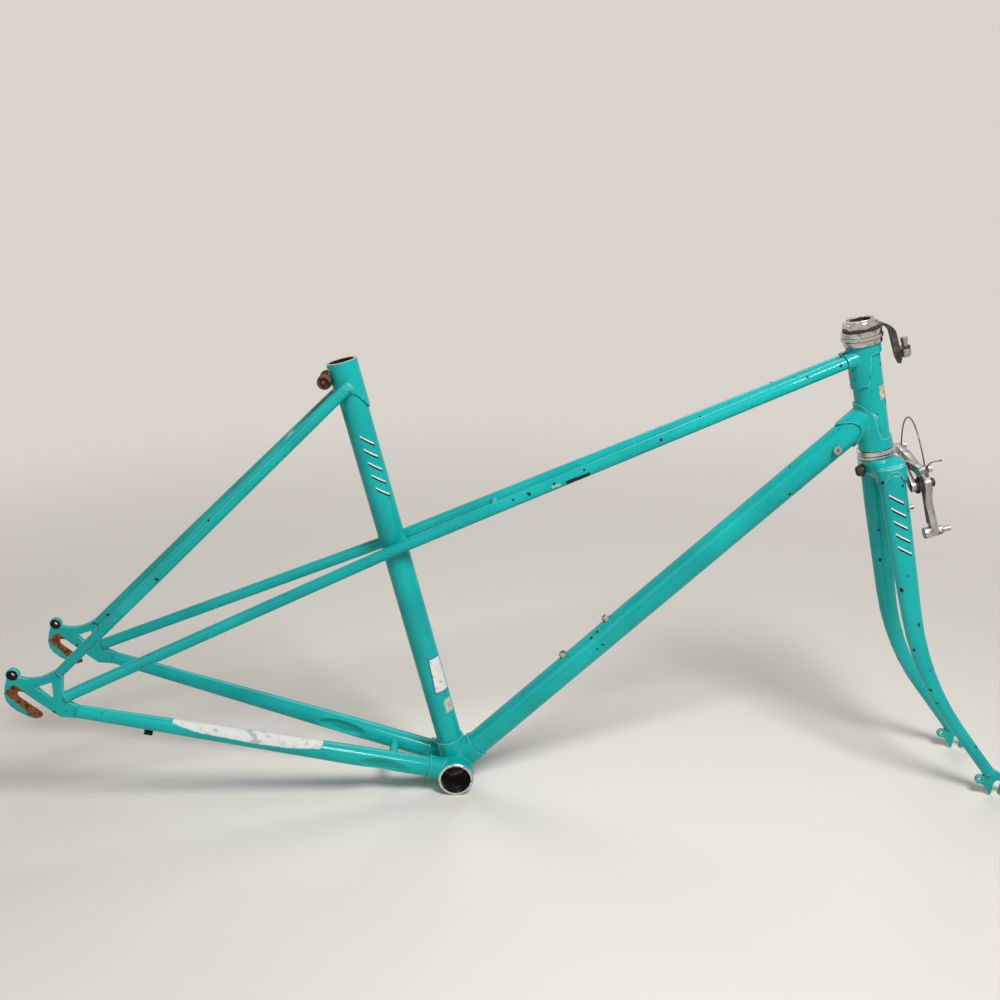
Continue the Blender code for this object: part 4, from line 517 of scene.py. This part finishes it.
seatStayMarks = {
    "right": [(-305, -57.7, 255.6, 2.2), (-250, -47, 316, 1.5),
              (-362, -61, 205, 1.7), (-200, -38, 372, 1.4)],
    "left": [(-398.5, 58.8, 167.5, 2.0), (-300, 52, 262, 1.6)],
}


def seatStayPaint(side):
    paint = startPaint("seatStayPaint" + side.title())
    chip(paint, paint.spots(seatStayMarks[side]))
    return paint.close()


capMarks = {
    "vent": (-105.0, 25.0, 454.5),
    "ventRadius": 1.4,
    "ventRag": 0.3,
    "ventLayer": {"colour": (0.01, 0.012, 0.012, 1), "rough": 0.8},
    "capHighlight": {"colour": (0.25, 0.60, 0.56, 1), "rough": 0.35},
    "capHighlightAreas": (55.0, 3.0, 0.50, 0.62),
    "capHighlightShare": 0.35,
}


def capPaint(side):
    paint = startPaint("capPaint" + side.title())
    # Painted shade: a near-black dot stands in for the dark opening of the cap's vent hole
    x, y, z = capMarks["vent"]
    vent = paint.spot((x, -y if side == "right" else y, z), capMarks["ventRadius"], capMarks["ventRag"])
    paint.lay(vent, **capMarks["ventLayer"])
    # Painted highlight: paler patches on the cap stand in for the light that falls on its top
    capHighlight = paint.blotches(*capMarks["capHighlightAreas"]) * capMarks["capHighlightShare"]
    paint.lay(capHighlight, **capMarks["capHighlight"])
    return paint.close()


dropoutMarks = {
    "hook": {"start": (-466, 140), "end": (-433, 104), "half": 8.0, "soft": 1.0, "rag": 9.0},
    "eyelet": (-461.2, 154.9),
    "eyeletRadius": 6.4,
    "eyeletRag": 26.0,
    "eyeletCore": 0.75,
    "eyeletLayer": {"colour": (0.022, 0.014, 0.010, 1), "rough": 0.7, "metal": 0.3, "coat": 0.0},
}


def dropoutPaint(side):
    look = dropoutMarks
    paint = startPaint("rearDropoutPaint" + side.title())
    rust(paint, paint.bar(**look["hook"]))
    x, z = look["eyelet"]
    ahead, above = paint.line(1, 0, -x), paint.line(0, 1, -z)
    gap = ahead * ahead + above * above + paint.ragged() * look["eyeletRag"]
    size = look["eyeletRadius"] ** 2
    paint.lay(1 - gap.ramp(size * look["eyeletCore"], size), **look["eyeletLayer"])
    return paint.close()


headMarks = {
    "peeled": {"start": (448.2, 445.5), "end": (451.3, 431.5), "half": 3.0, "rag": 5.0},
    "peeledTone": {
        "first": (0.58, 0.40, 0.22, 1),
        "second": (0.68, 0.66, 0.61, 1),
        "blotches": (120.0, 3.0, 0.46, 0.54),
    },
    "scratch": {"start": (452.6, 440.0), "end": (456.2, 426.0), "half": 0.9, "rag": 1.5},
    "finish": {"rough": 0.6, "metal": 0.0, "coat": 0.1},
    "side": -4.0,
}


def headTubePaint():
    look = headMarks
    paint = startPaint("headTubePaint")
    near = paint.nearSide(look["side"])
    paint.lay(paint.bar(**look["scratch"]) * near, paintLook["chip"]["colour"], **look["finish"])
    tone = paint.twoTone(**look["peeledTone"])
    paint.lay(paint.bar(**look["peeled"]) * near, tone, **look["finish"])
    return paint.close()


binderMarks = {
    "across": (0, 1, 0),
    "lugRag": 1.2,
    "lugRust": (7.4, 8.2),
    "boltRag": 0.8,
    "ring": (3.4, 5.0, 0.3),
    "ringRough": 0.8,
    "middle": (1.6, 2.2),
    "middleLayer": {"colour": (0.34, 0.22, 0.14, 1), "rough": 0.5, "metal": 0.7},
    "scale": (140.0, 5.0, 0.50, 0.60),
    "scaleRough": 0.85,
}


def fromBinder(finish, rag):
    low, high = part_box("seat_binder_bolt")
    return finish.radial((low + high) / 2, Vector(binderMarks["across"])) + finish.ragged() * (rag * mm)


def seatLugPaint():
    paint = startPaint("seatLugPaint")
    near, far = binderMarks["lugRust"]
    rust(paint, 1 - fromBinder(paint, binderMarks["lugRag"]).ramp(near * mm, far * mm))
    bareRim(paint, seatTubeRim["lugRough"])
    return paint.close()


shellMarks = {
    "across": (0, 1, 0),
    "face": (33.5, 33.8),
    "faceSteel": {
        "first": (0.68, 0.66, 0.62, 1),
        "second": (0.22, 0.19, 0.16, 1),
        "blotches": (240.0, 4.0, 0.50, 0.68),
    },
    "faceFinish": {"rough": 0.3, "metal": 1.0, "coat": 0.0},
    "bore": (16.85, 17.05),
    "dirt": {
        "first": (0.018, 0.016, 0.015, 1),
        "second": (0.16, 0.15, 0.13, 1),
        "blotches": (75.0, 4.0, 0.55, 0.68),
    },
    "boreFinish": {"rough": 0.7, "metal": 0.6, "coat": 0.0},
    "threadPitch": 1.06,
    "threadHeight": 0.6,
}


def shellPaint():
    look = shellMarks
    paint = startPaint("shellPaint")
    face = abs(paint.y).ramp(*[reach * mm for reach in look["face"]])
    paint.lay(face, paint.twoTone(**look["faceSteel"]), **look["faceFinish"])
    # The bore is painted near black: partly real dirt and grease on the threads, partly painted shade inside
    # the shell
    fromAxis = paint.radial(Vector((0, 0, 0)), Vector(look["across"]))
    inside = 1 - fromAxis.ramp(*[reach * mm for reach in look["bore"]])
    paint.lay(inside, paint.twoTone(**look["dirt"]), **look["boreFinish"])
    turn = paint.y * (math.tau / (look["threadPitch"] * mm))
    paint.lift(inside * turn.math("SINE", turn) * look["threadHeight"])
    return paint.close()


crownMarks = {
    "underside": (1.0, 4.0),
    "bareAreas": (120.0, 3.0, 0.52, 0.60),
    "chips": [(451.6, -35, 346.6, 2.2), (470.5, -37, 347.5, 1.7), (446, -33, 358, 1.3)],
}


def crownPaint():
    paint = startPaint("crownPaint")
    low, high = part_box("fork_crown")
    # Dark patches along the crown's bottom edge: partly real chips and rust, partly painted shade where the
    # crown meets the blades
    above = paint.heightAlong(Vector((low.x, 0, low.z)), Vector((0, 0, 1)))
    under = 1 - above.ramp(*[reach * mm for reach in crownMarks["underside"]])
    chip(paint, under * paint.blotches(*crownMarks["bareAreas"]))
    chip(paint, paint.spots(crownMarks["chips"]))
    return paint.close()


cableStopMarks = {"bareAreas": (160.0, 3.0, 0.36, 0.50)}


def cableStopPaint():
    paint = startPaint("cableStopPaint")
    chip(paint, paint.blotches(*cableStopMarks["bareAreas"]))
    return paint.close()


# Bare metals, one for each slot of the frame that isn't painted
metalLooks = {
    "bare_steel": {
        "colour": (0.52, 0.49, 0.45, 1), "dirt": (0.09, 0.06, 0.04, 1), "rough": 0.32, "metal": 1.0},
    "chrome": {
        "colour": (0.60, 0.59, 0.565, 1), "dirt": (0.20, 0.17, 0.14, 1), "rough": 0.13, "metal": 1.0},
    "alloy": {
        "colour": (0.42, 0.41, 0.395, 1), "dirt": (0.17, 0.155, 0.14, 1), "rough": 0.34, "metal": 1.0},
    "dark_steel": {
        "colour": (0.055, 0.05, 0.045, 1), "dirt": (0.10, 0.055, 0.03, 1), "rough": 0.5, "metal": 0.8},
    "rusty_steel": {
        "colour": (0.20, 0.07, 0.03, 1), "dirt": (0.05, 0.022, 0.014, 1), "rough": 0.78, "metal": 0.3},
}
wireLook = {"colour": (0.17, 0.165, 0.155, 1), "dirt": (0.05, 0.04, 0.035, 1), "rough": 0.35, "metal": 1.0}
metalGrain = {
    "dirt": (150.0, 5.0, 0.48, 0.72),
    "dirtRough": 0.25,
    "haze": {"scale": 600.0, "detail": 2.0, "amount": 0.12},
    "grain": {"scale": 500.0, "detail": 3.0, "height": 0.35},
}


def startMetal(name, look):
    metal = Finish(name, look["colour"], look["rough"], look["metal"])
    metal.lay(metal.blotches(*metalGrain["dirt"]), look["dirt"], look["rough"] + metalGrain["dirtRough"])
    haze, grain = metalGrain["haze"], metalGrain["grain"]
    metal.rough = metal.rough + metal.noise(haze["scale"], haze["detail"]) * haze["amount"]
    metal.lift(metal.noise(grain["scale"], grain["detail"]) * grain["height"])
    return metal


steererMarks = {"foot": (453.68, 0, 376.56), "up": (-0.221708, 0, 0.975113), "boreRadius": 11.3}


def steererMetal():
    metal = startMetal("steererSteel", metalLooks["bare_steel"])
    foot, up = Vector(steererMarks["foot"]) * mm, Vector(steererMarks["up"])
    darkBore(metal, foot, up, steererMarks["boreRadius"])
    return metal.close()


def binderMetal():
    look = binderMarks
    metal = startMetal("binderRust", metalLooks["rusty_steel"])
    away = fromBinder(metal, look["boltRag"])
    ring = metal.within(away, *[reach * mm for reach in look["ring"]])
    metal.lay(ring, rustLook["dark"], look["ringRough"])
    middle = 1 - away.ramp(*[reach * mm for reach in look["middle"]])
    metal.lay(middle, **look["middleLayer"])
    metal.lay(metal.blotches(*look["scale"]), rustLook["dark"], look["scaleRough"])
    return metal.close()


hangerMarks = {
    "worn": {"colour": (0.17, 0.145, 0.12, 1), "rough": 0.42, "metal": 0.9},
    "wornAreas": (70.0, 4.0, 0.45, 0.62),
}


def hangerMetal():
    metal = startMetal("hangerSteel", metalLooks["dark_steel"])
    metal.lay(metal.blotches(*hangerMarks["wornAreas"]), **hangerMarks["worn"])
    return metal.close()


# One look for each node: its own where it has marks, its slot's otherwise
slotOf = {entry["node"]: entry["material_slot"] for entry in frame["record"]["subparts"]}
looks = {name: startMetal(name, look).close() for name, look in metalLooks.items()}
looks["paint"] = startPaint("turquoisePaint").close()
ownLooks = {
    "seat_tube": seatTubePaint(),
    "seat_lug": seatLugPaint(),
    "head_tube": headTubePaint(),
    "down_tube": downTubePaint(),
    "bottom_bracket_shell": shellPaint(),
    "fork_crown": crownPaint(),
    "steerer_tube": steererMetal(),
    "cable_hanger": hangerMetal(),
    "cable_stop": cableStopPaint(),
    "seat_binder_bolt": binderMetal(),
    "straddle_wire": startMetal("brakeWire", wireLook).close(),
}
for side in ("right", "left"):
    ownLooks["fork_blade_" + side] = forkBladePaint(side)
    ownLooks["lateral_tube_" + side] = lateralPaint(side)
    ownLooks["chain_stay_" + side] = chainStayPaint(side)
    ownLooks["seat_stay_" + side] = seatStayPaint(side)
    ownLooks["seat_stay_cap_" + side] = capPaint(side)
    ownLooks["rear_dropout_" + side] = dropoutPaint(side)
for name, piece in nodes.items():
    piece.data.materials.clear()
    piece.data.materials.append(ownLooks.get(name) or looks[slotOf[name]])
print("materials set,", len(ownLooks), "of them for one node alone")


# Welded points, small bevels and smooth shading on the solids
edgeFinish = {
    "weld": 0.002 * mm,
    "bevel": 0.4 * mm,
    "bevelSegments": 2,
    "bevelAngle": math.radians(40),
    "sharpAngle": math.radians(32),
    "bevelled": (
        "dropout", "brake_arm", "brake_yoke", "nut", "race", "cup", "barrel", "bolt", "bush", "anchor"),
}


def makeSmoothTree():
    tree = bpy.data.node_groups.new("smoothSurface", "GeometryNodeTree")
    tree.interface.new_socket("Geometry", in_out="INPUT", socket_type="NodeSocketGeometry")
    tree.interface.new_socket("Sharp Angle", in_out="INPUT", socket_type="NodeSocketFloat")
    tree.interface.new_socket("Geometry", in_out="OUTPUT", socket_type="NodeSocketGeometry")
    source = Wire(tree, None).add("NodeGroupInput", output="Geometry")
    limit = Wire(tree, source.socket.node.outputs["Sharp Angle"])
    angle = source.add("GeometryNodeInputMeshEdgeAngle", output="Unsigned Angle")
    sharp = source.add("FunctionNodeCompare", None, {"A": angle, "B": limit}, "Result")
    smooth = source.add("GeometryNodeSetShadeSmooth", None, {"Geometry": source})
    values = {"Geometry": smooth, "Selection": sharp, "Shade Smooth": False}
    finished = source.add("GeometryNodeSetShadeSmooth", {"domain": "EDGE"}, values)
    source.add("NodeGroupOutput", None, {"Geometry": finished})
    return tree


smoothTree = makeSmoothTree()
angleSocket = [item for item in smoothTree.interface.items_tree if item.name == "Sharp Angle"][0].identifier
for name, piece in nodes.items():
    weld = piece.modifiers.new("weld", "WELD")
    weld.merge_threshold = edgeFinish["weld"]
    if any(word in name for word in edgeFinish["bevelled"]):
        bevel = piece.modifiers.new("bevel", "BEVEL")
        bevel.width = edgeFinish["bevel"]
        bevel.segments = edgeFinish["bevelSegments"]
        bevel.limit_method = "ANGLE"
        bevel.angle_limit = edgeFinish["bevelAngle"]
    smooth = piece.modifiers.new("smooth", "NODES")
    smooth.node_group = smoothTree
    smooth[angleSocket] = edgeFinish["sharpAngle"]
print("edges finished")


# Chain stays with the oval dents pressed in: the right one outside, the left one inside
stayLook = {
    "start": (-22.72, 19.6, 7.56),
    "end": (-399.1, 65.74, 110.85),
    "rings": 160,
    "sides": 56,
    "radius": 11.0,
    "tipRadius": 7.0,
    "taper": 290.0,
    "dentFloor": 1.15,  # over 1, so that the dent's floor is flat
}
stayDents = {
    "right": {"y": -1, "at": 62.0, "low": -2.5, "length": 31.0, "width": 9.0, "depth": 6.6},
    "left": {"y": 1, "at": 113.0, "low": -1.0, "length": 32.0, "width": 9.0, "depth": 6.6},
}


def stayPoints(look):
    toSide = Vector((1, look["y"], 1))
    start = Vector(stayLook["start"]) * toSide
    end = Vector(stayLook["end"]) * toSide
    along = (end - start).normalized()
    length = (end - start).length
    outward = (Vector((0, -1, 0)) + along * along.y).normalized()
    upward = along.cross(outward)
    upward *= math.copysign(1, upward.z)
    plate = Vector((along.x, 0, along.z)).normalized()  # the tip is cut square to the dropout
    rings, sides = stayLook["rings"], stayLook["sides"]
    points = []
    for ring in range(rings + 1):
        travel = length * ring / rings
        thin = max(0.0, (travel - length + stayLook["taper"]) / stayLook["taper"])
        radius = stayLook["radius"] + (stayLook["tipRadius"] - stayLook["radius"]) * thin
        for step in range(sides):
            turn = math.tau * step / sides
            arm = (outward * math.cos(turn) + upward * math.sin(turn)) * radius
            if ring == rings:
                arm -= along * (arm.dot(plate) / along.dot(plate))
            across = (arm.dot(upward) - look["low"]) / look["width"]
            inside = 1 - ((travel - look["at"]) / look["length"]) ** 2 - across ** 2
            if inside > 0 and arm.dot(outward) > 0:
                share = min(1.0, inside * stayLook["dentFloor"])
                arm -= outward * (look["depth"] * share * share * (3 - 2 * share))
            points.append((start + along * travel + arm) * mm)
    return points


def makeStay(side, look):
    rings, sides = stayLook["rings"], stayLook["sides"]
    faces = []
    for ring in range(rings):
        low, high = ring * sides, (ring + 1) * sides
        for step in range(sides):
            after = (step + 1) % sides
            faces.append((low + step, low + after, high + after, high + step))
    faces.append(tuple(range(sides)))
    faces.append(tuple(range(rings * sides, (rings + 1) * sides)))
    mesh = bpy.data.meshes.new("dentedStay" + side.title())
    mesh.from_pydata(stayPoints(look), [], faces)
    shape = bmesh.new()
    shape.from_mesh(mesh)
    bmesh.ops.recalc_face_normals(shape, faces=shape.faces)
    for face in shape.faces:
        face.smooth = len(face.verts) == 4
    shape.to_mesh(mesh)
    shape.free()
    name = "chain_stay_" + side
    mesh.materials.append(ownLooks[name])
    stay = bpy.data.objects.new(mesh.name, mesh)
    bpy.context.scene.collection.objects.link(stay)
    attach(stay, "frame")
    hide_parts(name)


for side, look in stayDents.items():
    makeStay(side, look)
print("chain stays dented")


# The straddle wire in two halves, each with one end on the arm whose anchor is on that side
wireHalves = {"cutReach": 0.0001 * mm, "stiffEnd": 0.12}


def makeWireHalf(side):
    anchorLow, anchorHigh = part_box("cable_anchor_" + side)
    anchor = (anchorLow + anchorHigh) / 2
    shape = bmesh.new()
    shape.from_mesh(nodes["straddle_wire"].data)
    bmesh.ops.remove_doubles(shape, verts=shape.verts, dist=edgeFinish["weld"])
    cut = bmesh.ops.bisect_plane(
        shape,
        geom=shape.verts[:] + shape.edges[:] + shape.faces[:],
        dist=wireHalves["cutReach"],
        plane_co=(0, 0, 0),
        plane_no=(0, -math.copysign(1, anchor.y), 0),
        clear_outer=True,
    )
    edges = [part for part in cut["geom_cut"] if isinstance(part, bmesh.types.BMEdge)]
    bmesh.ops.edgeloop_fill(shape, edges=edges)
    mesh = bpy.data.meshes.new("straddleWire" + side.title())
    shape.to_mesh(mesh)
    shape.free()
    mesh.polygons.foreach_set("use_smooth", [True] * len(mesh.polygons))
    mesh.materials.append(ownLooks["straddle_wire"])
    half = bpy.data.objects.new(mesh.name, mesh)
    bpy.context.scene.collection.objects.link(half)
    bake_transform(half)
    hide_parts("straddle_wire")


for side in ("right", "left"):
    makeWireHalf(side)
print("straddle wire halved")


# Floor, sky, lamps and camera
stageLook = {
    "floorHeight": cadBox[0][2],
    "floorSize": 60.0,
    "floorColour": (0.80, 0.76, 0.70, 1),
    "floorShade": (0.74, 0.70, 0.64, 1),
    "shadeScale": 3.0,
    "shadeShare": 0.25,
    "floorRough": 0.6,
    "farColour": (0.695, 0.655, 0.605, 1),
    "fade": (0.5, 1.9),  # the floor turns into the backdrop between these distances, in metres
    "skyColour": (1.0, 0.98, 0.95, 1),
    "skyStrength": 0.15,
    "seenRays": ("Is Camera Ray", "Is Glossy Ray", "Is Transmission Ray"),
}


def seenRays(wire):
    first, second, third = [wire.add("ShaderNodeLightPath", output=name) for name in stageLook["seenRays"]]
    return first.larger(second).larger(third)


def makeFloor():
    half = stageLook["floorSize"] / 2
    height = stageLook["floorHeight"]
    corners = [(-half, -half, height), (half, -half, height), (half, half, height), (-half, half, height)]
    mesh = bpy.data.meshes.new("floor")
    mesh.from_pydata(corners, [], [(0, 1, 2, 3)])
    floor = bpy.data.objects.new("floor", mesh)
    bpy.context.scene.collection.objects.link(floor)
    pale = Finish("paleFloor", stageLook["floorColour"], stageLook["floorRough"])
    shade = pale.noise(stageLook["shadeScale"]) * stageLook["shadeShare"]
    pale.colour = pale.mix(shade, stageLook["floorColour"], stageLook["floorShade"])
    pale.close()
    away = pale.place.vector("LENGTH", pale.place, output=1)
    far = away.ramp(*stageLook["fade"]) * seenRays(pale.place)
    near = Wire(pale.tree, pale.shader.outputs[0])
    glow = near.add("ShaderNodeEmission", None, {"Color": stageLook["farColour"], "Strength": 1.0})
    both = near.add("ShaderNodeMixShader", None, {0: far, 1: near, 2: glow})
    pale.tree.links.new(both.socket, pale.tree.nodes["Material Output"].inputs["Surface"])
    mesh.materials.append(pale.material)


def makeSky():
    world = bpy.data.worlds.new("studio")
    bpy.context.scene.world = world
    world.use_nodes = True
    tree = world.node_tree
    light = tree.nodes["Background"]
    light.inputs["Color"].default_value = stageLook["skyColour"]
    light.inputs["Strength"].default_value = stageLook["skyStrength"]
    sky = Wire(tree, light.outputs[0])
    seen = sky.add("ShaderNodeBackground", None, {"Color": stageLook["farColour"], "Strength": 1.0})
    both = sky.add("ShaderNodeMixShader", None, {0: seenRays(sky), 1: sky, 2: seen})
    tree.links.new(both.socket, tree.nodes["World Output"].inputs["Surface"])


lamps = {
    "key": {"at": (0.55, -0.95, 1.65), "aim": (0.12, 0, 0.35), "size": 0.6, "power": 30},
    "fill": {"at": (-1.6, -1.6, 1.6), "aim": (0.1, 0, 0.3), "size": 1.4, "power": 7},
    "back": {"at": (0.2, 1.8, 2.1), "aim": (0.1, 0, 0.3), "size": 1.2, "power": 15},
}


def makeLamps():
    for name, lamp in lamps.items():
        light = bpy.data.lights.new(name, "AREA")
        light.energy = lamp["power"]
        light.size = lamp["size"]
        holder = bpy.data.objects.new(name, light)
        bpy.context.scene.collection.objects.link(holder)
        holder.location = lamp["at"]
        toAim = Vector(lamp["aim"]) - Vector(lamp["at"])
        holder.rotation_euler = toAim.to_track_quat("-Z", "Y").to_euler()


cameraSetup = {
    "at": (0.00729, -1.13473, 0.67749),
    "turn": (72.545, -0.116, -2.154),
    "lens": 39.89,
    "sensor": 36,
}


def makeCamera():
    camera = bpy.data.objects.new("camera", bpy.data.cameras.new("camera"))
    bpy.context.scene.collection.objects.link(camera)
    camera.location = cameraSetup["at"]
    camera.rotation_euler = [math.radians(angle) for angle in cameraSetup["turn"]]
    camera.data.lens = cameraSetup["lens"]
    camera.data.sensor_width = cameraSetup["sensor"]
    bpy.context.scene.camera = camera


makeFloor()
makeSky()
makeLamps()
makeCamera()
bpy.context.scene.view_settings.view_transform = "Standard"
print("stage ready")
